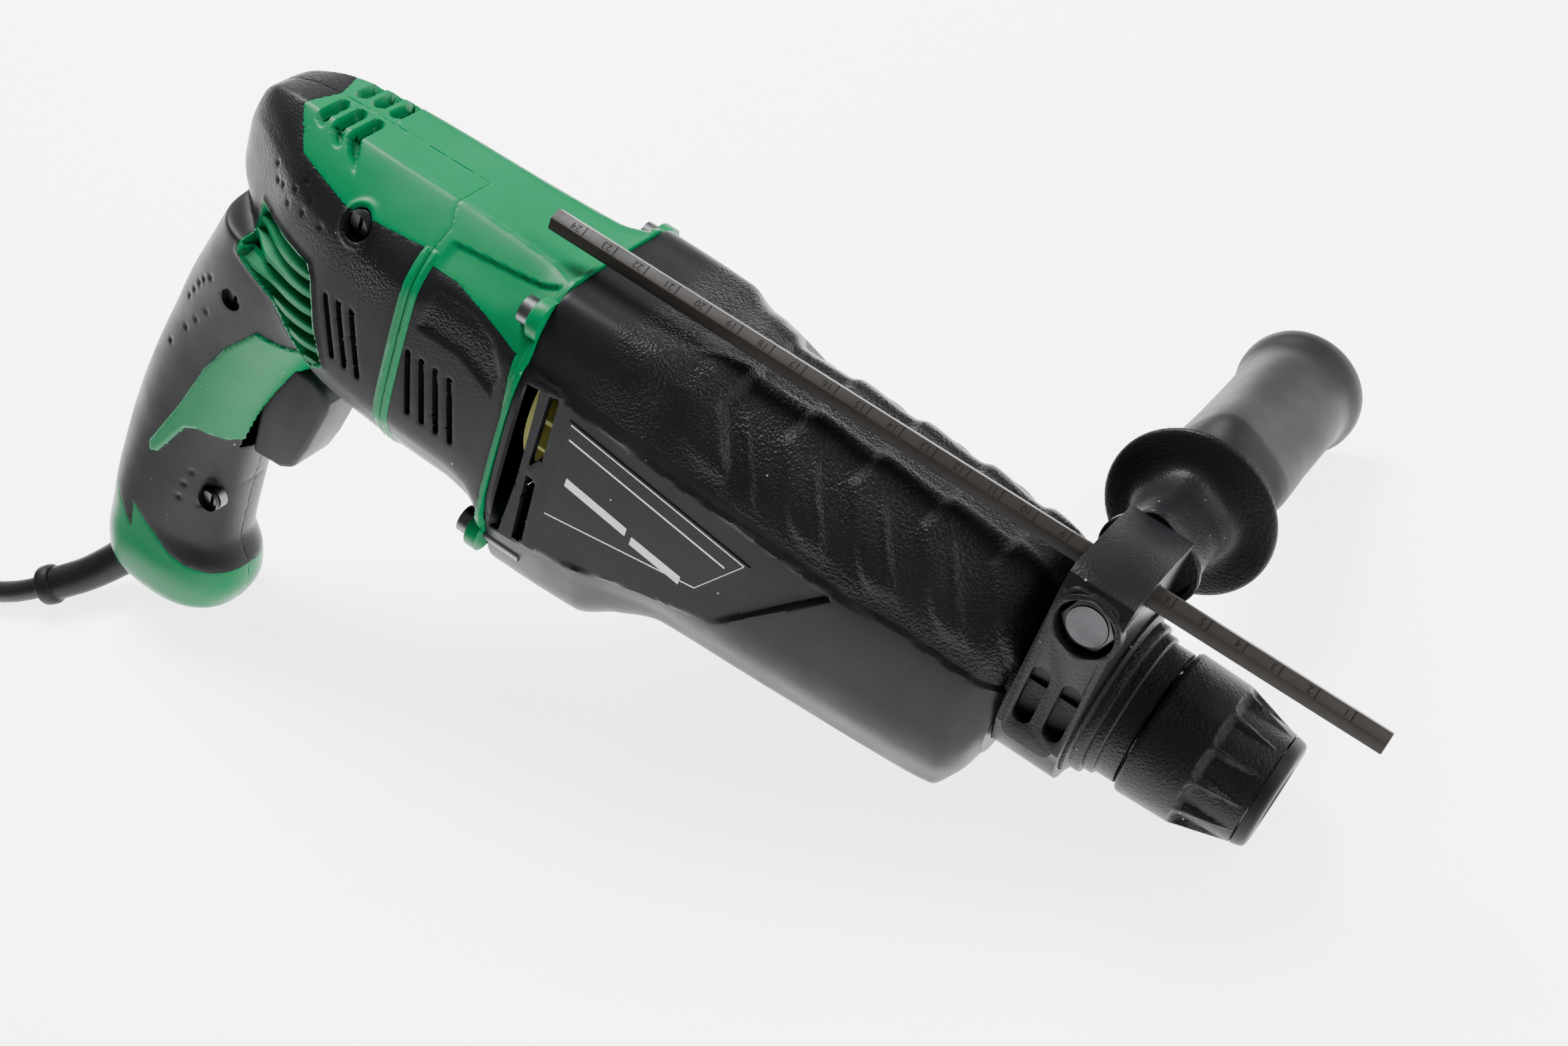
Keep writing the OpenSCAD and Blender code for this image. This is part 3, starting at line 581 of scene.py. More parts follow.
def tube_mesh(path, radii, sides):
    """Points and faces of a round tube with flat ends along a path, in the path's own units."""
    path = np.asarray(path, float)
    ahead = np.gradient(path, axis=0)
    ahead /= np.linalg.norm(ahead, axis=1)[:, None]
    across = np.cross(ahead, [0.0, 0.0, 1.0])
    small = np.linalg.norm(across, axis=1) < 0.05
    across[small] = np.cross(ahead[small], [0.0, 1.0, 0.0])
    across /= np.linalg.norm(across, axis=1)[:, None]
    other = np.cross(across, ahead)
    a = np.linspace(0, 2 * math.pi, sides, endpoint=False)
    r = np.broadcast_to(radii, (len(path),))[:, None, None]
    c, s = np.cos(a)[None, :, None], np.sin(a)[None, :, None]
    points = path[:, None] + r * (c * across[:, None] + s * other[:, None])
    faces = grid_faces(len(path), sides)[:, ::-1].tolist()
    faces.append(list(range(sides)))
    faces.append([(len(path) - 1) * sides + k for k in range(sides)][::-1])
    return points.reshape(-1, 3), faces


def evaluated(piece):
    """Points and faces of an object, with its modifiers."""
    view = piece.evaluated_get(bpy.context.evaluated_depsgraph_get())
    mesh = view.to_mesh()
    points = np.empty(3 * len(mesh.vertices))
    mesh.vertices.foreach_get("co", points)
    faces = [list(face.vertices) for face in mesh.polygons]
    view.to_mesh_clear()
    return points.reshape(-1, 3), faces


def join_meshes(parts):
    """One list of points and faces from several."""
    points, faces, count = [], [], 0
    for p, f in parts:
        points.append(np.asarray(p, float))
        faces.extend([[v + count for v in face] for face in as_list(f)])
        count += len(p)
    return np.concatenate(points), faces


def revolved(profile, sides):
    """Surface turned about the tool's axis from (x, r) points."""
    profile = np.asarray(profile, float)
    a = np.linspace(0, 2 * math.pi, sides, endpoint=False)
    points = np.stack([np.repeat(profile[:, 0], sides),
                       (profile[:, 1][:, None] * np.sin(a)).ravel(),
                       (profile[:, 1][:, None] * np.cos(a)).ravel()], axis=1)
    faces = grid_faces(len(profile), sides)
    return points, faces[:, ::-1]


# -------- gear case
JOINT_X = -219.0
CASE_CELL = 0.7
CASE_GIRTH = 230.0
CASE_STATIONS = np.array([
    (-219, 33, -66, 36, 25), (-212, 33, -66, 36, 25), (-190, 33, -65, 36, 24), (-178, 32.3, -58, 34, 16),
    (-164, 32, -52, 32.5, 12), (-140, 32, -51, 32, 12), (-112, 31.5, -50, 31, 12),
    (-88, 30.5, -49.5, 29, 11), (-78, 29.5, -48.5, 28, 11), (-73, 27, -40, 26, 10),
    (-70.5, 25, -28, 24.5, 9.5)], float)
LABEL = [(-202, 6), (-142, -5), (-154, -21.5), (-202, -27)]
LABEL_PANEL = [(-217, 10.5), (-205, 10.5), (-118, 1.5), (-147, -29), (-205, -42), (-217, -43)]
CASE_VENTS = [
    [(-216.4, 8.5), (-212.6, 9), (-212.2, -8), (-212, -22), (-213, -41), (-216.4, -41)],
    [(-209.5, 9), (-206.6, 9.5), (-206.4, -11), (-209.8, -15)],
    [(-209.6, -18), (-206.4, -19.5), (-205.4, -40), (-208.6, -40.5)]]
CREASE = [(-219, 13), (-207, 12), (-200, 8.5), (-167, 5.5), (-136, 5), (-117, 3.5), (-99, 4), (-77, 2),
          (-66, 1)]
RIB_XS = (-148.5, -127.5, -106.5, -86.5)
BULGE_X = -171.0
MODE_AT = (-150.0, -14.0)
COLLAR = [(-79, 23.2), (-72, 24.0), (-70.2, 24.05), (-48.6, 24.05), (-48.0, 23.0), (-47.6, 22.2),
          (-45.4, 22.2), (-44.9, 21.9), (-44.6, 20.6), (-42.3, 20.6), (-41.8, 20.2), (-41.6, 19.5),
          (-36.2, 19.5), (-36.0, 19.2), (-36.0, 16.3)]


def mirrored_section(half):
    """Corners of closed sections, from the (y, z) corners of their left halves, top to bottom."""
    loop = [(-y, z) for y, z in half] + half[-2:0:-1]
    return np.stack([np.stack([y, z], axis=1) for y, z in loop], axis=1)


def case_section(s):
    zt, zb, hw, tw = (s[:, k] for k in range(1, 5))
    half = [(0 * zt, zt), (0.6 * tw, zt - 0.012 * tw), (tw, zt - 0.05 * tw), (0.5 * (hw + tw), 0.74 * zt),
            (0.92 * hw, 0.42 * zt), (hw, 0.05 * zt), (hw, 0.35 * zb), (0.96 * hw, 0.58 * zb),
            (0.82 * hw, 0.78 * zb), (0.66 * hw, 0.93 * zb), (0.45 * hw, zb), (0 * zb, zb)]
    return mirrored_section(half)


def rib_phase(x, z):
    """Where a point would meet the top of the case if it slid along the chevrons."""
    bend = np.interp(z, [-10, 10, 19, 26, 32], [24, 14.5, 5.5, -1.5, 0])
    return x - bend


def case_relief(p):
    """Height of the moulded detail over the smooth case, and how strong its leather grain is."""
    x, y, z = p.T
    edge = np.interp(x, *zip(*CREASE))
    over = z - edge
    height = np.zeros(len(p))
    height += 1.1 * smooth_step(-over, -0.2, 0.9) * smooth_step(z, -44, -30)
    rough = smooth_step(over, 0.3, 1.2) * smooth_step(x, -205, -196)
    phase = rib_phase(x, z)
    fade = smooth_step(over, 3.5, 9.0) * smooth_step(x, -186, -176)
    ribs = np.zeros(len(p))
    for at in RIB_XS:
        u = phase - at
        ribs += smooth_step(u, -2.0, 2.0) * (1 - smooth_step(u, 2.0, 17.5))
    height += 1.25 * ribs * fade * smooth_step(x, -166, -158)
    bulge = smooth_step(phase, BULGE_X - 15, BULGE_X - 3)
    bulge *= 1 - smooth_step(phase, BULGE_X + 2, BULGE_X + 6)
    height += 2.1 * bulge * smooth_step(over, 5.0, 12.0) * smooth_step(-x, 153, 160)
    for at in RIB_XS:
        lean = phase - (at - 11.0)
        along = smooth_step(z, 9, 14) * smooth_step(-z, -28.5, -23)
        height += 0.75 * np.exp(-(lean / 0.95) ** 2) * along * smooth_step(over, 2.5, 7.0)
    right = y < 0
    d, _, _ = polygon_distance(x, z, LABEL_PANEL)
    rough = rough * np.where(right & (d < 4), 0, 1)
    flat_disc = np.hypot(x - MODE_AT[0], z - MODE_AT[1])
    height -= np.where(y > 0, 1.6 * smooth_step(-flat_disc, -17.6, -16.6), 0)
    return height, rough


def panel_y(x):
    """The flat panel round the label."""
    return -35.0 + 4.4 * (x + 205) / 87


def case_mesh():
    """The smooth gear case, with vertices on the edges of its vents and of the label's panel."""
    xs = np.arange(JOINT_X + 0.3, CASE_STATIONS[-1, 0], CASE_CELL)
    corners = case_section(stations_at(CASE_STATIONS, xs))
    count = 2 * round(0.5 * CASE_GIRTH / CASE_CELL)
    ring = closed_curve(corners, even_places(corners[len(xs) // 2], count))
    ring = np.concatenate([ring, 0.97 * ring[-1:], 0.84 * ring[-1:]])
    xs = np.concatenate([xs, [-70.2, -70.1]])
    rows, columns = ring.shape[:2]
    points = np.concatenate([np.repeat(xs, columns)[:, None], ring.reshape(-1, 2)], axis=1)
    faces = grid_faces(rows, columns)
    normals = vertex_normals(points, faces)
    if (normals[:, 2] * points[:, 2]).mean() < 0:
        faces = faces[:, ::-1]
        normals = -normals
    right = points[:, 1] < 0
    for outline in [*CASE_VENTS, LABEL_PANEL]:
        on_side = right & (np.abs(normals[:, 1]) > 0.5)
        slide(points, normals, field(points, outline), 0.5 * CASE_CELL, on_side, 0.2)
    return points, faces, normals


def make_gear_case():
    points, faces, normals = case_mesh()
    right = points[:, 1] < 0
    height, rough = case_relief(points)
    centre = points[faces].mean(axis=1)
    keep = np.ones(len(faces), bool)
    for outline in CASE_VENTS:
        d, _, _ = polygon_distance(centre[:, 0], centre[:, 2], outline)
        keep &= ~((d < 0) & (np.abs(centre[:, 1]) > 20))
    d, _, _ = polygon_distance(points[:, 0], points[:, 2], LABEL_PANEL)
    flat = np.where(right, smooth_step(-d, -0.1, 0.9), 0)
    points = points + height[:, None] * normals
    points[:, 1] += flat * (panel_y(points[:, 0]) - points[:, 1])
    normals = vertex_normals(points, faces)
    shell, shell_faces, used = with_rim(points, normals, faces, keep, 2.6, 0.1, 0.05)
    everything = join_meshes([(shell, shell_faces), revolved(COLLAR, 128)])
    grain = np.full(len(everything[0]), 0.55)
    grain[:len(used)] = rough[used]
    grain[len(used):len(shell)] = 0
    add_piece("gear_case_shell", *everything, black_leather, "housing", "black_shell", ["gear_case"], grain)


make_gear_case()


# -------- motor housing and handle
# Stations of the body (x, top, bottom, half width, half width of the flat top) and of the grip (z, back,
# front, half width), the ones that its CAD is drawn from.
BODY_STATIONS = np.array([
    (-338.5, 15, -10, 5, 2.5), (-335.5, 21.5, -14, 8, 5), (-329, 27, -20, 12.5, 8),
    (-318, 30, -32, 19, 11.5), (-304, 31, -46, 26, 13.5), (-285, 31.3, -54, 31, 14.5),
    (-259, 31.5, -55, 33.5, 15), (-240, 31.5, -55, 34, 16), (-229, 31.5, -57, 34.5, 17),
    (-222, 32, -63, 35.5, 20), (-219, 32.5, -66, 36, 21), (-216, 33, -66, 36, 21)], float)
GRIP_STATIONS = np.array([
    (-171, -352, -325, 12), (-169.5, -358, -319, 15.5), (-165, -362.5, -314, 17.6),
    (-156, -364, -311.5, 18.2), (-149, -364, -312.5, 17.6), (-140, -364, -317.5, 17),
    (-118, -362.5, -317, 17), (-98, -360, -315, 17.2), (-80, -356.5, -311, 17.8), (-62, -352, -304, 19),
    (-45, -347.5, -296, 21.5), (-28, -341.5, -291, 24), (-14, -336.5, -288, 25.5)], float)
REMESH_MM = 0.75
SLIDE_MM = 0.45

HOOD = [(-400, 60), (-314.4, 60), (-314.4, 30.3), (-318, 25.3), (-309, 14.4), (-288, 9.5), (-261.7, 12.3),
        (-261.7, -230), (-400, -230)]
HOOD_LEAN = 0.35
BELLY = [(-293, -50), (-250, -50), (-250, -62), (-296, -62)]
INLAY = [(-312, -43), (-293, -47.5), (-288, -60), (-290, -84), (-303, -88.5), (-311, -92), (-320, -94),
         (-329, -94), (-333.5, -96.5), (-342, -112), (-345.5, -113.5), (-346, -110), (-337, -89),
         (-330, -70), (-323, -57)]
LOUVRE = [(-320, -2), (-294, -3), (-291.5, -7), (-287, -20), (-281.5, -31), (-287, -36), (-291, -36),
          (-321.5, -18)]
FOOT = [(-380, -131), (-364, -135), (-356, -140.5), (-347.5, -148), (-348.5, -138), (-340, -143),
        (-331, -148), (-325, -149.3), (-318, -149.5), (-300, -147), (-300, -190), (-380, -190)]
MOTOR_SKIN = [(-256.4, 19.5), (-248, 19.5), (-236, 17), (-223.5, 13.5), (-221.5, -6), (-221.5, -40),
              (-228, -58), (-234, -80), (-256.4, -80)]
COVER_FRONT = [(-400, 60), (-262, 60), (-262, 31), (-258.8, 27), (-259.3, 21), (-259, 16), (-259, -200),
               (-400, -200)]
THUMB_REST = [(-253, 13), (-252, 17), (-240, 16.5), (-230, 13.5), (-225, 5), (-226, -2), (-239, 3),
              (-254, 3)]
SIDE_SLOTS = [[(-254.6 + 4.9 * i, -6.3), (-250.4 + 5.1 * i, -24.5)] for i in range(4)]
SIDE_SLOTS += [[(-285.5 + 5 * i, -8 + 0.6 * i), (-279 + 5 * i, -24.5)] for i in range(3)]
SLOT_R = 0.95
HOOD_GROOVES = [[(x, -4.2, 31.2), (x, -14.5, 30.6), (x + 4, -19.5, 28.2), (x + 9, -24.5, 24.8)]
                for x in (-310.2, -304.2, -298.2)]
DIMPLES = [(-312, 10), (-303, 17), (-306, 13), (-308, 7), (-299, 14), (-301, 9), (-293, 10), (-317, 13),
           (-315, 9), (-331, -35), (-334, -38), (-336, -41), (-338, -45), (-340, -49), (-331, -48),
           (-335, -54), (-339, -60), (-345, -70), (-329, -112), (-323, -113), (-331, -118), (-316, -114),
           (-332, -124), (-325, -124), (-313, -107)]
# Holes over the screws of the handle cover: x, z, radius, and y at the well's mouth and floor
COVER_SCREWS = [(-282, 17, 4.1, -29.5, -26.4), (-322, -37, 3.5, -22.2, -19.4),
                (-321.5, -119, 3.7, -15.9, -13.4)]
TRIGGER_SLOT = ((-321.5, -280), 10.0, (-97.2, -57.4))
LEFT_HOLES = [(-322, -66, 3.9), (-288, -38, 2.8)]


def body_section(s):
    zt, zb, hw, tw = (s[:, k] for k in range(1, 5))
    h = zt - zb
    half = [(0 * zt, zt), (0.75 * tw, zt - 0.012 * tw), (tw, zt - 0.7),
            (tw + 0.55 * (hw - tw), zt - 0.1 * h), (0.94 * hw, zt - 0.19 * h), (hw, zt - 0.3 * h),
            (hw, zb + 0.32 * h), (0.91 * hw, zb + 0.21 * h), (0.7 * hw, zb + 0.11 * h),
            (0.44 * hw, zb + 0.04 * h), (0.18 * hw, zb + 0.005 * h), (0 * zt, zb)]
    return mirrored_section(half)


def dense_stations(stations, step):
    at = np.arange(stations[0, 0], stations[-1, 0] + 0.5 * step, step)
    return stations_at(stations, np.clip(at, None, stations[-1, 0]))


def capped(rows, columns, flip=False):
    faces = grid_faces(rows, columns)
    if flip:
        faces = faces[:, ::-1]
    ends = [list(range(columns)), [(rows - 1) * columns + i for i in range(columns)]]
    ends[0 if flip else 1].reverse()
    return faces.tolist() + ends


def rough_body():
    stations = dense_stations(BODY_STATIONS, 1.5)
    corners = body_section(stations)
    ring = closed_curve(corners, even_places(corners[-1], 180))
    x = np.repeat(stations[:, 0], 180)[:, None]
    return np.concatenate([x, ring.reshape(-1, 2)], axis=1), capped(len(stations), 180)


def rough_grip():
    stations = dense_stations(GRIP_STATIONS, 1.0)
    a = np.linspace(0, 2 * math.pi, 120, endpoint=False)
    c = np.sign(np.cos(a)) * np.abs(np.cos(a)) ** 0.8
    s = np.sign(np.sin(a)) * np.abs(np.sin(a)) ** 0.8
    z, back, front, half = (stations[:, k][:, None] for k in range(4))
    points = np.stack([(front + back) / 2 + (front - back) / 2 * c, half * s, z + 0 * c], axis=-1)
    return points.reshape(-1, 3), capped(len(stations), 120)


def remeshed(points, faces):
    """The outside of overlapping closed surfaces as one even mesh of quads."""
    data = bpy.data.meshes.new("rough")
    data.from_pydata(points.tolist(), [], faces)
    rough = new_object("rough", data)
    change = rough.modifiers.new("remesh", "REMESH")
    change.mode = "VOXEL"
    change.voxel_size = REMESH_MM
    made_points, made_faces = evaluated(rough)
    bpy.data.objects.remove(rough)
    bpy.data.meshes.remove(data)
    return made_points, np.array([face for face in made_faces if len(face) == 4])


def both(a, b):
    pick = (a[0] > b[0])
    return np.where(pick, a[0], b[0]), np.where(pick[:, None], a[1], b[1])


def without(a, b):
    return both(a, (-b[0], -b[1]))


def grip_skin_field(p):
    """Below zero where the handle's soft skin covers the shell, on both sides."""
    skin = field(p, HOOD, HOOD_LEAN)
    for outline in (BELLY, INLAY, LOUVRE, FOOT):
        skin = without(skin, field(p, outline))
    return skin


def disc_field(p, x, z, r):
    away = np.stack([p[:, 0] - x, 0 * p[:, 0], p[:, 2] - z], axis=1)
    size = np.maximum(np.linalg.norm(away, axis=1), 1e-6)
    return size - r, away / size[:, None]


def slot_field(p, slot):
    """Distance to the edge of a slot with round ends, and which way it grows."""
    (ax, az), (bx, bz) = slot
    a, along = np.array([ax, 0.0, az]), np.array([bx - ax, 0.0, bz - az])
    flat = p * np.array([1.0, 0.0, 1.0])
    t = np.clip((flat - a) @ along / (along @ along), 0, 1)
    away = flat - a - t[:, None] * along
    size = np.maximum(np.linalg.norm(away, axis=1), 1e-6)
    return size - SLOT_R, away / size[:, None]


def thumb_rest(p):
    """One on the sunken rest on each side of the motor, and zero off it."""
    return smooth_step(-polygon_distance(p[:, 0], p[:, 2], THUMB_REST)[0], -0.6, 2.4)


def rear_height(p):
    """Height of the moulded detail over the smooth shell."""
    x, y, z = p.T
    m = mirrored(p)
    height = np.zeros(len(p))
    for groove in HOOD_GROOVES:
        height -= 2.9 * smooth_step(-path_distance(m, groove), -2.1, -1.35)
    edge = np.interp(x, [-262, -255, -218], [23.5, 22, 20])
    shelf = smooth_step(x, -256.5, -254) * smooth_step(np.abs(y) - edge, 0, 0.9)
    height -= shelf * smooth_step(z, 17.0, 25.0) * smooth_step(-x, 221.5, 223.5)
    height += 1.3 * smooth_step(x, -221.0, -220.4)
    for at in (-260.2, -257.9):
        height += 0.65 * np.exp(-((x - at) / 0.62) ** 2) * (z < 22)
    height -= 0.9 * thumb_rest(p)
    d, _, _ = polygon_distance(x, z, LOUVRE)
    height += 0.5 * np.exp(-((d - 0.1) / 0.8) ** 2)
    height -= 4.6 * smooth_step(-d, 0.9, 1.3)
    for u, v in DIMPLES:
        height -= 0.55 * np.exp(-((x - u) ** 2 + (z - v) ** 2) / 0.75)
    height += 0.7 * smooth_step(-polygon_distance(x, z, INLAY)[0], -0.2, 0.5) * (z < -43)
    near_hole = np.hypot(x - COVER_SCREWS[0][0], z - COVER_SCREWS[0][1])
    height += 0.6 * np.exp(-((near_hole - 5.2) / 0.8) ** 2) * (y < 0)
    return height


def rear_grain(p):
    """How strong the leather grain is."""
    x, y, z = p.T
    rough = 0.45 * smooth_step(-x, 262, 270) * smooth_step(z, -2, 6)
    palm = np.exp(-((x + 273) / 9) ** 2 - ((z - 9) / 8) ** 2)
    rough = np.maximum(rough, 1.25 * palm * (z - HOOD_LEAN * np.abs(y) < 13))
    rough = np.maximum(rough, 1.35 * thumb_rest(p))
    return np.maximum(rough, 0.3 * (x > -256) * smooth_step(z, -14, 4))


def slot_mask(centre):
    """Which faces are left out for slots and holes."""
    x, y, z = centre.T
    gone = np.zeros(len(centre), bool)
    for slot in SIDE_SLOTS:
        gone |= (slot_field(centre, slot)[0] < 0) & (np.abs(y) > 12)
    m = mirrored(centre)
    for groove in HOOD_GROOVES:
        top = path_distance(m, [groove[0], groove[1]])
        across = (m[:, 1] < -5) & (m[:, 1] > -13) & (z > 20)
        gone |= (top < 3.6) & (np.abs(m[:, 0] - groove[0][0]) < 1.0) & across
    for u, v, r, _, _ in COVER_SCREWS:
        gone |= (np.hypot(x - u, z - v) < r) & (y < -11)
    for u, v, r in LEFT_HOLES:
        gone |= (np.hypot(x - u, z - v) < r) & (y > 0)
    (x0, x1), half, (z0, z1) = TRIGGER_SLOT
    gone |= (x > x0) & (x < x1) & (np.abs(y) < half) & (z > z0) & (z < z1)
    return gone


def rear_mesh():
    """Body and grip as one smooth mesh, with vertices on the edges of its skins, cover, holes and slots."""
    points, faces = remeshed(*join_meshes([rough_body(), rough_grip()]))
    junction = np.exp(-((points[:, 2] + 34) / 16.0) ** 2) * (points[:, 0] < -278)
    points = relax(points, faces, 3, 0.55, shrink=False)
    points = relax(points, faces, 26, np.clip(1.1 * junction, 0, 0.6))
    normals = vertex_normals(points, faces)
    every = np.ones(len(points), bool)
    right = points[:, 1] < 0
    middle = (points[:, 1].copy(), np.tile([0.0, 1.0, 0.0], (len(points), 1)))
    slide(points, normals, middle, SLIDE_MM, every)
    slide(points, normals, field(points, COVER_FRONT), SLIDE_MM, right)
    slide(points, normals, field(points, MOTOR_SKIN), SLIDE_MM, every)
    slide(points, normals, grip_skin_field(points), SLIDE_MM, every)
    for u, v, r, _, _ in COVER_SCREWS:
        slide(points, normals, disc_field(points, u, v, r), SLIDE_MM, points[:, 1] < -11)
    for u, v, r in LEFT_HOLES:
        slide(points, normals, disc_field(points, u, v, r), SLIDE_MM, ~right)
    for slot in SIDE_SLOTS:
        slide(points, normals, slot_field(points, slot), SLIDE_MM, np.abs(points[:, 1]) > 12)
    front = (points[:, 0] - JOINT_X, np.tile([1.0, 0.0, 0.0], (len(points), 1)))
    slide(points, normals, front, SLIDE_MM, every)
    return points, faces, normals


def make_rear():
    points, faces, normals = rear_mesh()
    rough = rear_grain(points)
    smooth = points
    points = points + rear_height(points)[:, None] * normals
    centre = smooth[faces].mean(axis=1)
    keep = (centre[:, 0] < JOINT_X) & ~slot_mask(centre)
    skin = grip_skin_field(centre)[0] < 0
    motor = (field(centre, MOTOR_SKIN)[0] < 0) & ~skin
    cover = (field(centre, COVER_FRONT)[0] < 0) & (centre[:, 1] < 0)
    normals = vertex_normals(points, faces)
    pieces = [
        ("handle_cover_shell", ~skin & ~motor & cover, green_plastic, "green_shell", "handle_cover"),
        ("motor_housing_shell", ~skin & ~motor & ~cover, green_plastic, "green_shell", "motor_housing"),
        ("motor_skin_shell", motor, black_leather, "soft_skin", "motor_skin"),
        ("grip_skin_right_shell", skin & (centre[:, 1] < 0), black_leather, "soft_skin", "grip_skin_right"),
        ("grip_skin_left_shell", skin & (centre[:, 1] >= 0), black_leather, "soft_skin", "grip_skin_left")]
    extras = {"handle_cover_shell": louvre_slats(smooth, -1), "grip_skin_right_shell": screw_wells(),
              "motor_housing_shell": louvre_slats(smooth, 1) + rim_bosses()}
    for name, chosen, material, slot, node_name in pieces:
        shell, shell_faces, used = with_rim(points, normals, faces, keep & chosen, 2.0, 0.12, 0.07)
        grain = np.zeros(len(shell))
        grain[:len(used)] = rough[used]
        if name in extras:
            shell, shell_faces = join_meshes([(shell, shell_faces)] + extras[name])
            grain = np.concatenate([grain, np.zeros(len(shell) - len(grain))])
        add_piece(name, shell, shell_faces, material, "housing", slot, [node_name], grain)


def surface_y(smooth, side, u, v):
    """Where the shell's side is at x = u, z = v."""
    face = smooth[(np.sign(smooth[:, 1]) == side) & (np.abs(smooth[:, 1]) > 6)]
    nearest = [np.argmin((face[:, 0] - a) ** 2 + (face[:, 2] - b) ** 2) for a, b in zip(u, v)]
    return face[nearest, 1]


def louvre_slats(smooth, side):
    """Curved ledges across the motor's rear window, between its green floor and the shell's face."""
    slats = []
    for k in range(6):
        u = np.linspace(-320.5, -285.5 + 0.6 * k, 24)
        t = (u - u[0]) / (u[-1] - u[0])
        v = -7.2 - 5.7 * k + t * (1.6 + 0.35 * k) - 2.6 * np.sin(math.pi * t)
        d, _, _ = polygon_distance(u, v, LOUVRE)
        inside = d < -0.15
        if inside.sum() < 3:
            continue
        u, v = u[inside], v[inside]
        y = surface_y(smooth, side, u, v)
        y = np.convolve(np.pad(y, 2, mode="edge"), np.ones(5) / 5, mode="valid")
        out = y - side * 0.35
        back = y - side * 5.4
        rows = np.stack([np.stack([u, out, v + 0.75], 1), np.stack([u, out, v - 0.75], 1),
                         np.stack([u, back, v + 0.6], 1), np.stack([u, back, v + 2.0], 1)], axis=1)
        faces = capped(len(u), 4, flip=side < 0)
        slats.append((rows.reshape(-1, 3), faces))
    return slats


def ring_y(u, v, profile, sides=40):
    """Surface turned about an axis across the tool at x = u, z = v, from (y, r) points."""
    a = np.linspace(0, 2 * math.pi, sides, endpoint=False)
    rows = [np.stack([u + r * np.cos(a), np.full(sides, y), v + r * np.sin(a)], 1) for y, r in profile]
    return np.concatenate(rows), grid_faces(len(profile), sides)


def screw_wells():
    """Walls of the deep holes over the cover screws, down to the screws' seats."""
    wells = []
    for u, v, r, mouth, floor in COVER_SCREWS:
        wells.append(ring_y(u, v, [(mouth, r), (floor, r - 0.15), (floor + 0.3, 2.0)]))
    return wells


def rim_bosses():
    """Bosses for the four screws of the gear case, open at the back over the screws' heads."""
    bosses = []
    for y, z in ((28, 24), (-28, 24), (29, -50), (-29, -50)):
        profile = [(-223.2, 4.05), (-223.2, 5.4), (-222.9, 5.8), (-222.4, 6.0), (-219.1, 6.0),
                   (-219.1, 2.1), (-222.2, 2.1), (-222.2, 4.05), (-223.2, 4.05)]
        p, f = revolved(profile, 36)
        bosses.append((p + np.array([0, y, z]), f))
    return bosses


make_rear()


# -------- label
LABEL_TOP_LINE = [(-200.5, 0.6), (-148.5, -9.2)]
LABEL_BOXES = [[(-198, -11.5), (-177.5, -15.6)], [(-175.5, -17.2), (-159, -20.2)]]


def plate_patch(corners, depth, lift, n=12, m=6):
    """A thin plate with four corners, laid on the case's flat panel; depth is its thickness."""
    (a, b, c, d) = [np.array(p, float) for p in corners]
    s, t = np.meshgrid(np.linspace(0, 1, n), np.linspace(0, 1, m), indexing="ij")
    flat = (1 - s)[..., None] * ((1 - t)[..., None] * a + t[..., None] * d) \
        + s[..., None] * ((1 - t)[..., None] * b + t[..., None] * c)
    u, v = flat[..., 0].ravel(), flat[..., 1].ravel()
    y = panel_y(u) - lift
    top = np.stack([u, y, v], axis=1)
    under = top + np.array([0, depth, 0])
    faces = grid_faces(n, m, closed=False)
    if np.cross(top[faces[0, 1]] - top[faces[0, 0]], top[faces[0, 2]] - top[faces[0, 0]])[1] > 0:
        faces = faces[:, ::-1]
    rim = [i * m for i in range(n)] + [(n - 1) * m + j for j in range(1, m)]
    rim += [i * m + m - 1 for i in range(n - 2, -1, -1)] + [j for j in range(m - 2, 0, -1)]
    total = n * m
    walls = [[p, q, q + total, p + total] for p, q in zip(rim, rim[1:] + rim[:1])]
    return np.concatenate([top, under]), faces.tolist() + (faces[:, ::-1] + total).tolist() + walls


def bar_on_case(start, end, width, lift):
    (u0, v0), (u1, v1) = start, end
    return plate_patch([(u0, v0), (u1, v1), (u1, v1 - width), (u0, v0 - width)], 0.12, lift, n=2, m=2)


def make_label():
    lift = 0.3
    add_piece("label_plate_face", *plate_patch(LABEL, 0.8, lift), label_black, "housing", "plate_blank",
              ["label_plate"])
    loop = [(-201.2, 5.2), (-143.6, -5.4), (-154.4, -20.7), (-201.2, -26.0)]
    sides = [(p, q) for p, q in zip(loop, loop[1:] + loop[:1]) if p[0] != q[0]]
    lines = [bar_on_case(p, q, 0.35, lift + 0.07) for p, q in sides]
    lines.append(bar_on_case(*LABEL_TOP_LINE, 0.5, lift + 0.07))
    lines += [bar_on_case(*box, 2.6, lift + 0.07) for box in LABEL_BOXES]
    add_piece("label_lines", *join_meshes(lines), label_silver, "housing", "plate_blank")


# -------- carved blocks
def solid(points, faces):
    data = bpy.data.meshes.new("solid")
    data.from_pydata(np.asarray(points, float).tolist(), [], as_list(faces))
    data.validate()
    work = bmesh.new()
    work.from_mesh(data)
    bmesh.ops.remove_doubles(work, verts=work.verts, dist=1e-4)
    bmesh.ops.recalc_face_normals(work, faces=work.faces)
    work.to_mesh(data)
    work.free()
    return new_object("solid", data)


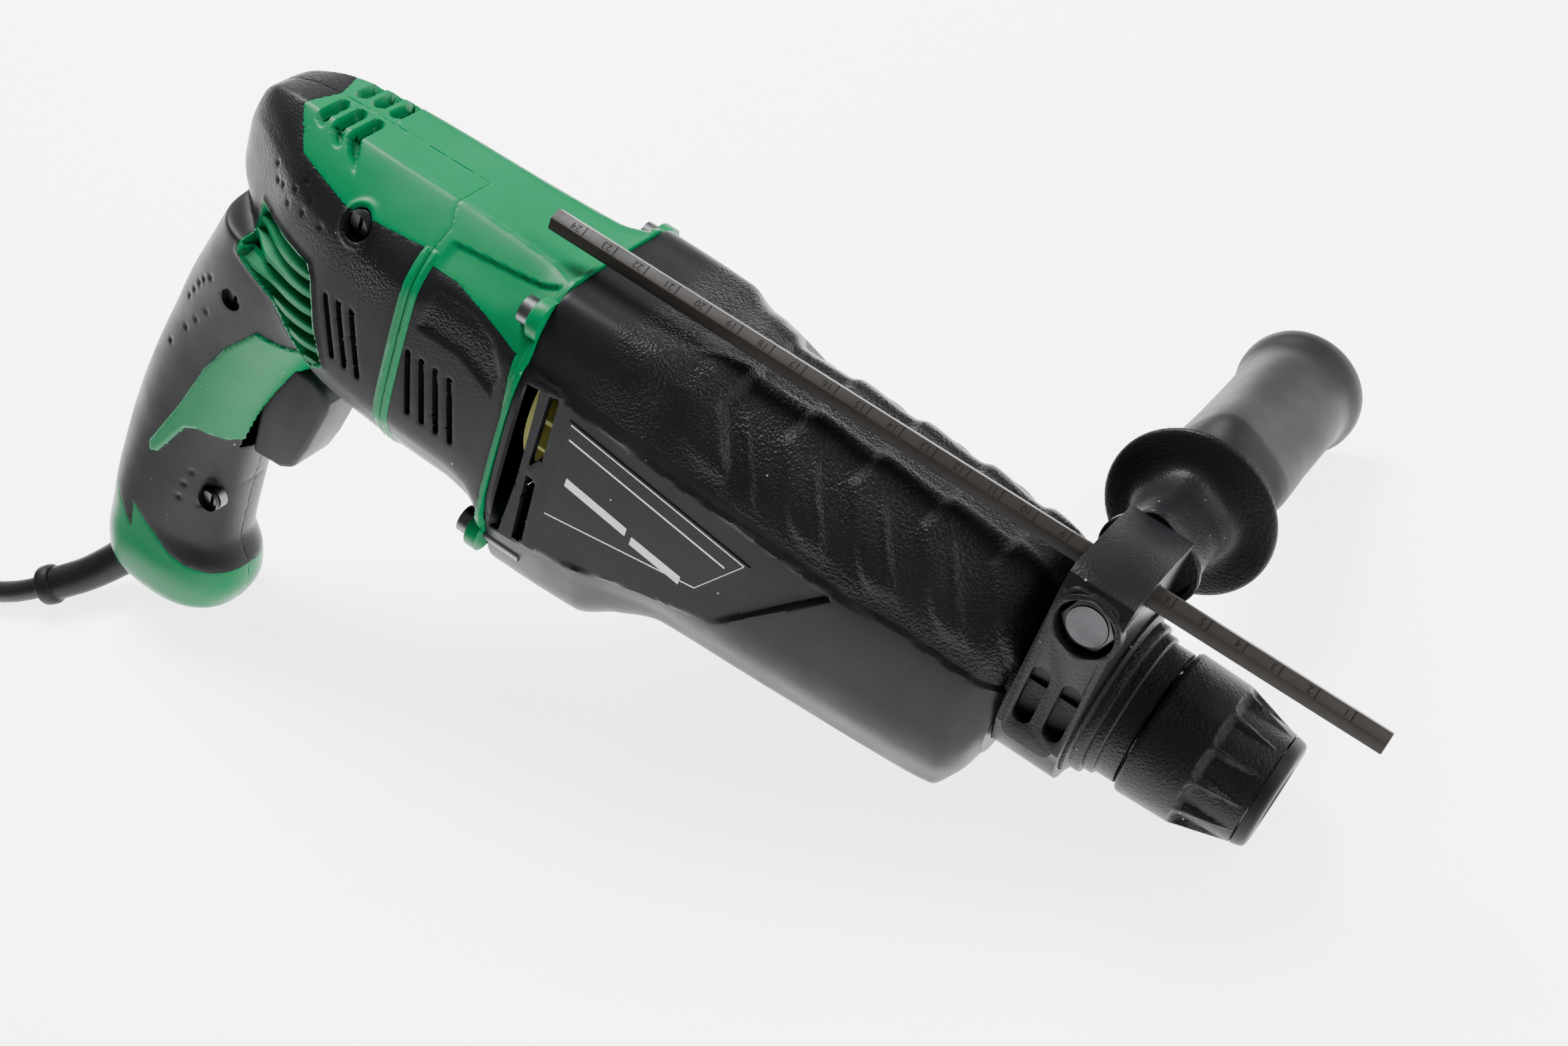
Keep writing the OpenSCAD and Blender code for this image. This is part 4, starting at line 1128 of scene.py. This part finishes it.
def carved(blocks, cutters, bevel=0.5, segments=2):
    """Points and faces of the union of the blocks less the cutters, with its edges rounded."""
    made = [solid(*part) for part in blocks + cutters]
    first = made[0]
    for k, other in enumerate(made[1:], 1):
        change = first.modifiers.new(f"step_{k}", "BOOLEAN")
        change.operation = "UNION" if k < len(blocks) else "DIFFERENCE"
        change.solver = "EXACT"
        change.object = other
    if bevel > 0:
        rounding = first.modifiers.new("rounding", "BEVEL")
        rounding.width = bevel
        rounding.segments = segments
        rounding.limit_method = "ANGLE"
        rounding.angle_limit = math.radians(35)
    points, faces = evaluated(first)
    for piece in made:
        data = piece.data
        bpy.data.objects.remove(piece)
        bpy.data.meshes.remove(data)
    return points, faces


def prism_faces(n):
    walls = [[i, (i + 1) % n, n + (i + 1) % n, n + i] for i in range(n)]
    return [list(range(n)), [n + i for i in range(n)][::-1]] + walls


def prism_across(outline, y0, y1):
    """Prism across the tool from an outline in x and z."""
    return [(x, y, z) for y in (y0, y1) for x, z in outline], prism_faces(len(outline))


def prism_along(outline, x0, x1):
    """Prism along the tool from an outline in y and z."""
    return [(x, y, z) for x in (x0, x1) for y, z in outline], prism_faces(len(outline))


def circle(cu, cv, r, sides=48, start=0.0, end=2 * math.pi):
    whole = abs(end - start - 2 * math.pi) < 1e-6
    a = np.linspace(start, end, sides, endpoint=not whole)
    return [(cu + r * math.cos(t), cv + r * math.sin(t)) for t in a]


def rounded_box(u0, v0, u1, v1, r, sides=6):
    corners = [(u1 - r, v1 - r, 0), (u0 + r, v1 - r, 1), (u0 + r, v0 + r, 2), (u1 - r, v0 + r, 3)]
    outline = []
    for u, v, k in corners:
        outline += circle(u, v, r, sides, k * math.pi / 2, (k + 1) * math.pi / 2)
    return outline


# -------- chuck
FINS = 12


def make_sleeve():
    per_fin = 18
    sides = FINS * per_fin
    phase = (np.arange(sides) % per_fin) / per_fin
    off = np.abs(phase - 0.5) * 2
    xs = np.concatenate([[-35.2, -35.2, -34.9, -34.3], np.arange(-33.5, -20.2, 1.2),
                         np.arange(-20.0, -4.2, 0.45), [-4.05, -3.95]])
    valley = np.interp(xs, [-19.6, -18.9, -17.6, -4], [20.35, 18.9, 17.7, 16.15])
    crest = np.interp(xs, [-19.8, -18.8, -17.6, -5.2, -4], [20.45, 20.35, 20.0, 16.4, 16.15])
    width = np.interp(xs, [-19.8, -17.9, -5.0, -4], [0.9, 0.40, 0.12, 0.08])
    hill = 1 - smooth_step(off[None, :] / width[:, None], 0.15, 1.0)
    r = valley[:, None] + (crest - valley)[:, None] * hill
    ring = np.interp(xs, [-35.2, -34.3, -19.8], [20.4, 20.9, 20.45])
    r = np.where((xs < -19.8)[:, None], ring[:, None], r)
    r[0] = 19.85
    a = np.arange(sides) * 2 * math.pi / sides
    grid = np.stack([np.repeat(xs, sides), (r * np.sin(a)).ravel(), (r * np.cos(a)).ravel()], axis=1)
    inner = revolved([(-3.95, 16.15), (-3.95, 12.6), (-30, 12.6), (-30, 15), (-24, 15), (-24, 19.85),
                      (-35.2, 19.85)], 96)
    points, faces = join_meshes([(grid, grid_faces(len(xs), sides)[:, ::-1]), inner])
    add_piece("chuck_sleeve_shell", points, faces, black_leather, "chuck_sleeve", "black_shell",
              ["chuck_sleeve"], np.full(len(points), 0.5), sharp=40)


def make_cap():
    profile = [(-3.7, 12.1), (-3.7, 15.7), (-3.5, 16.0), (-2.2, 15.75), (-1.1, 15.45), (-0.55, 15.1),
               (-0.2, 14.6), (0.0, 13.7), (0.0, 9.0), (-0.5, 8.2), (-0.5, 6.6), (-0.9, 5.95),
               (-2.5, 5.95), (-2.5, 11.0)]
    points, faces = revolved(profile, 96)
    add_piece("front_cap_shell", points, faces, black_rubber, "spindle", "rubber", ["front_cap"], sharp=30)


# -------- clamp and side handle
CLAMP_X = (-68.0, -49.5)
HANDLE_X, HANDLE_Z = -58.0, 34.8
GAUGE_Y, GAUGE_Z = -11.9, 41.7
GAUGE_TIP, GAUGE_LENGTH, GAUGE_FLATS = 16.0, 250.0, 6.0


def hexagon(cu, cv, flats, turn=0.0):
    return circle(cu, cv, flats / math.sqrt(3), 6, turn, turn + 2 * math.pi)


def make_clamp():
    outline = circle(0, 0, 27, 60, math.radians(197.5), math.radians(425))
    outline += [(10, 46), (4, 46.2), (-2, 47.2), (-23, 47.3), (-26.3, 45.6), (-28, 42), (-28, -5)]
    block = prism_along(outline, *CLAMP_X)
    panel = prism_across(rounded_box(-66.2, -7.5, -51.3, 44.0, 3.2), -28.5, -27)
    boss = prism_across(circle(HANDLE_X, HANDLE_Z, 9.6), -29.2, -26)
    through = (CLAMP_X[0] - 1, CLAMP_X[1] + 1)
    bore = prism_along(circle(0, 0, 24.3, 96), *through)
    bolt = prism_across(circle(HANDLE_X, HANDLE_Z, 8.1), -40, -22)
    shaft = prism_across(circle(HANDLE_X, HANDLE_Z, 4.15, 32), -30, 20)
    gauge = prism_along(hexagon(GAUGE_Y, GAUGE_Z, GAUGE_FLATS + 0.6, math.pi / 2), *through)
    slot_xs = [HANDLE_X - 4.4, HANDLE_X + 4.4]
    slots = [prism_across(rounded_box(x - 2.7, -1.5, x + 2.7, 17.5, 2.6), -30, -25.2) for x in slot_xs]
    block_less_holes = carved([block, panel, boss], [bore, bolt, shaft, gauge] + slots, 0.45)
    bars = [prism_across([(x - 2.9, 8.4), (x + 2.9, 8.4), (x + 2.9, 10.6), (x - 2.9, 10.6)], -26.3, -25)
            for x in slot_xs]
    points, faces = join_meshes([block_less_holes] + bars)
    add_piece("clamp_block", points, faces, black_leather, "side_handle", "black_shell",
              ["clamp_holder"], np.full(len(points), 0.3), sharp=30)


def make_bolt():
    head = prism_across(hexagon(HANDLE_X, HANDLE_Z, 13.0, math.radians(8)), -27.2, -22.2)
    shank = prism_across(circle(HANDLE_X, HANDLE_Z, 3.3, 32), -22.6, -7)
    thread = prism_across(circle(HANDLE_X, HANDLE_Z, 4.0, 32), -7.5, 60)
    face = ring_y(HANDLE_X, HANDLE_Z, [(-27.0, 5.9), (-27.55, 5.6), (-27.55, 0.01)], 40)
    bolt = join_meshes([carved([head, shank, thread], [], 0.35), face])
    add_piece("clamp_bolt_head", *bolt, bolt_black, "side_handle", "dark_steel", ["clamp_bolt"], sharp=30)


def turned_y(profile, sides):
    """Surface about the side handle's axis from (y, r, power); power 2 is round, and more is squarer."""
    power = np.maximum(profile[:, 2], 2)[:, None]
    a = np.linspace(0, 2 * math.pi, sides, endpoint=False)
    square = (np.abs(np.cos(a)) ** power + np.abs(np.sin(a)) ** power) ** (-1 / power)
    r = profile[:, 1][:, None] * square
    turn = a + math.radians(45 + 18)
    y = np.repeat(profile[:, :1], sides, axis=1)
    points = np.stack([HANDLE_X + r * np.cos(turn), y, HANDLE_Z + r * np.sin(turn)], axis=-1)
    return points.reshape(-1, 3), grid_faces(len(profile), sides)


def even_profile(knots, count):
    """Profile of (y, r, power) through knots, evenly spaced; a knot that gives no power is round."""
    knots = np.array([(*knot, 2)[:3] for knot in knots], float)
    run = np.concatenate([[0], np.cumsum(np.linalg.norm(np.diff(knots, axis=0), axis=1))])
    at = np.linspace(0, run[-1], count)
    return np.stack([curve_through(run, knots[:, k], at) for k in range(knots.shape[1])], axis=1)


def make_stem():
    knots = [(10.2, 11.0, 4), (11, 11.6, 4), (20, 10.9, 4), (26, 11.0, 3.6), (30, 11.9, 3),
             (32.4, 13.6, 2.4), (33.6, 16.0, 2.05), (34.5, 19.5), (35.3, 22.6), (35.9, 23.9),
             (36.7, 24.2), (37.4, 23.6), (37.3, 20), (37.5, 14), (39.5, 11.6), (43.7, 11)]
    line = np.concatenate([[(10.2, 4.2, 2)], even_profile(knots, 76), [(43.7, 4.2, 2)]])
    points, faces = turned_y(line, 96)
    x, y, z = points.T
    points[:, 2] += 0.18 * np.exp(-((x - HANDLE_X + 1.0) / 0.35) ** 2) * (z > HANDLE_Z) * (y < 33)
    collar = circle(0, 0, 1, 64)
    rim = [(10.05, 12.4), (10.05, 13.9), (10.5, 14.3), (12.2, 14.1), (12.8, 13.4), (12.8, 11.2)]
    disc = [(HANDLE_X + r * c, y, HANDLE_Z - 1.2 + 0.86 * r * s) for y, r in rim for c, s in collar]
    collar_part = (np.array(disc), grid_faces(len(rim), 64))
    points, faces = join_meshes([(points, faces), collar_part])
    add_piece("handle_stem_shell", points, faces, black_leather, "side_handle", "black_shell",
              ["handle_stem"], np.full(len(points), 0.4), sharp=40)


def make_grip():
    knots = [(44.1, 4.2), (44.1, 12.6), (44.6, 13.2), (50, 13.6, 2.2), (54, 14.2, 2.6), (58, 15.4, 3.2),
             (61, 15.9, 3.2), (80, 15.6, 3.0), (100, 15.7, 2.8), (106, 16.1, 2.4), (110, 16.9, 2.1),
             (113, 18.1), (114.8, 18.55), (116.6, 18.6), (117.9, 18.4), (118.6, 17.8), (118.9, 17.0),
             (118.9, 9), (118.4, 8.6), (118.4, 0.02)]
    line = even_profile(knots, 120)
    points, faces = turned_y(line, 96)
    add_piece("side_grip_shell", points, faces, grip_rubber, "side_grip", "rubber", ["side_grip"], sharp=40)


# -------- depth gauge
def digit_mesh(text, size):
    """Points (u, v) and faces of a number, centred."""
    data = bpy.data.curves.new("number", "FONT")
    data.body = text
    data.size = size
    data.align_x, data.align_y = "CENTER", "CENTER"
    data.resolution_u = 3
    made = new_object("number", data)
    points, faces = evaluated(made)
    bpy.data.objects.remove(made)
    bpy.data.curves.remove(data)
    return points[:, :2], faces


def make_gauge():
    section = hexagon(GAUGE_Y, GAUGE_Z, GAUGE_FLATS, math.pi / 2)
    bar = carved([prism_along(section, GAUGE_TIP - GAUGE_LENGTH, GAUGE_TIP)], [], 0.35)
    add_piece("depth_gauge_bar", *bar, gauge_plastic, "depth_gauge", "gauge_plastic", ["depth_gauge"],
              sharp=25)
    out = np.array([0, -math.sin(math.radians(30)), math.cos(math.radians(30))])
    down = np.array([0, -math.cos(math.radians(30)), -math.sin(math.radians(30))])
    middle = np.array([0, GAUGE_Y, GAUGE_Z]) + (GAUGE_FLATS / 2 + 0.03) * out
    parts = []
    for cm in range(1, 25):
        at = middle + np.array([GAUGE_TIP - 10.0 * cm, 0, 0])
        flat, number = digit_mesh(str(cm), 3.0)
        shift = 1.9 if cm < 10 else 2.7
        parts.append((at + (flat[:, :1] + shift) * np.array([-1, 0, 0]) + flat[:, 1:] * down, number))
        tick = np.array([(-0.16, -1.5), (0.16, -1.5), (0.16, 1.5), (-0.16, 1.5)])
        parts.append((at + tick[:, :1] * np.array([-1, 0, 0]) + tick[:, 1:] * down, [[0, 1, 2, 3]]))
    add_piece("depth_gauge_marks", *join_meshes(parts), gauge_mark, "depth_gauge", "gauge_plastic")


# -------- controls
def add_control(node_name, mesh, **looks):
    add_piece(f"{node_name}_shell", *mesh, trigger_grey, node_name, "control_plastic", [node_name], **looks)


def make_trigger():
    outline = [(-314, -97), (-303, -96.2), (-298.5, -93.5), (-295.2, -84), (-291.3, -68), (-291.2, -63.5),
               (-293.5, -59.6), (-298, -58), (-314, -58)]
    add_control("trigger", carved([prism_across(outline, -9.0, 9.0)], [], 1.8, 4), sharp=30)


def make_lock_button():
    profile = [(14, 0.02), (14, 3.3), (20.4, 3.3), (21.0, 3.0), (21.4, 2.2), (21.5, 0.02)]
    add_control("lock_button", ring_y(-322, -66, profile))


def make_reversing_lever():
    x, z = -288.0, -38.0
    pivot = prism_across(circle(x, z, 5.0), 32.2, 35)
    pin = prism_across(circle(x, z, 2.4, 24), 24, 32.6)
    arm = prism_across([(x - 2.6, z), (x + 2.6, z), (x + 1.9, z - 14), (x - 1.9, z - 14)], 32.2, 35.3)
    add_control("reversing_lever", carved([pivot, pin, arm], [], 0.5), sharp=30)


def make_mode_lever():
    x, z = MODE_AT
    disc = prism_across(circle(x, z, 14, 72), 33.7, 37)
    pin = prism_across(circle(x, z, 5, 32), 27, 34)
    arrow = [(x - 14, z - 2.6), (x + 9, z - 4), (x + 14, z), (x + 9, z + 4), (x - 14, z + 2.6)]
    bar = prism_across(arrow, 36.5, 41.4)
    add_control("mode_lever", carved([disc, pin, bar], [], 0.7, 3), sharp=30)


# -------- cord guard
def make_guard():
    line = smooth_line(GUARD_ROUTE[:5], 5)
    radii = np.interp(np.linspace(0, 1, len(line)), np.linspace(0, 1, 5), GUARD_RADII)
    end = np.array(GUARD_ROUTE[4], float)
    tip = np.array(GUARD_ROUTE[6], float)
    collar = [end + (tip - end) * t for t in (0.04, 0.1, 0.25, 0.5, 0.8, 0.95, 1.0)]
    line = np.concatenate([line, collar])
    radii = np.concatenate([radii, [6.1, 6.6, 6.9, 6.9, 6.8, 6.3, 5.4]])
    points, faces = tube_mesh(line, radii, 32)
    points = (on_ground(points) - NOSE) @ AXES.T / MM
    add_piece("cord_guard_sleeve", points, faces, black_rubber, "housing", "rubber", ["cord_guard"],
              sharp=30)


make_label()
make_sleeve()
make_cap()
make_clamp()
make_bolt()
make_stem()
make_grip()
make_gauge()
make_trigger()
make_lock_button()
make_reversing_lever()
make_mode_lever()
make_guard()
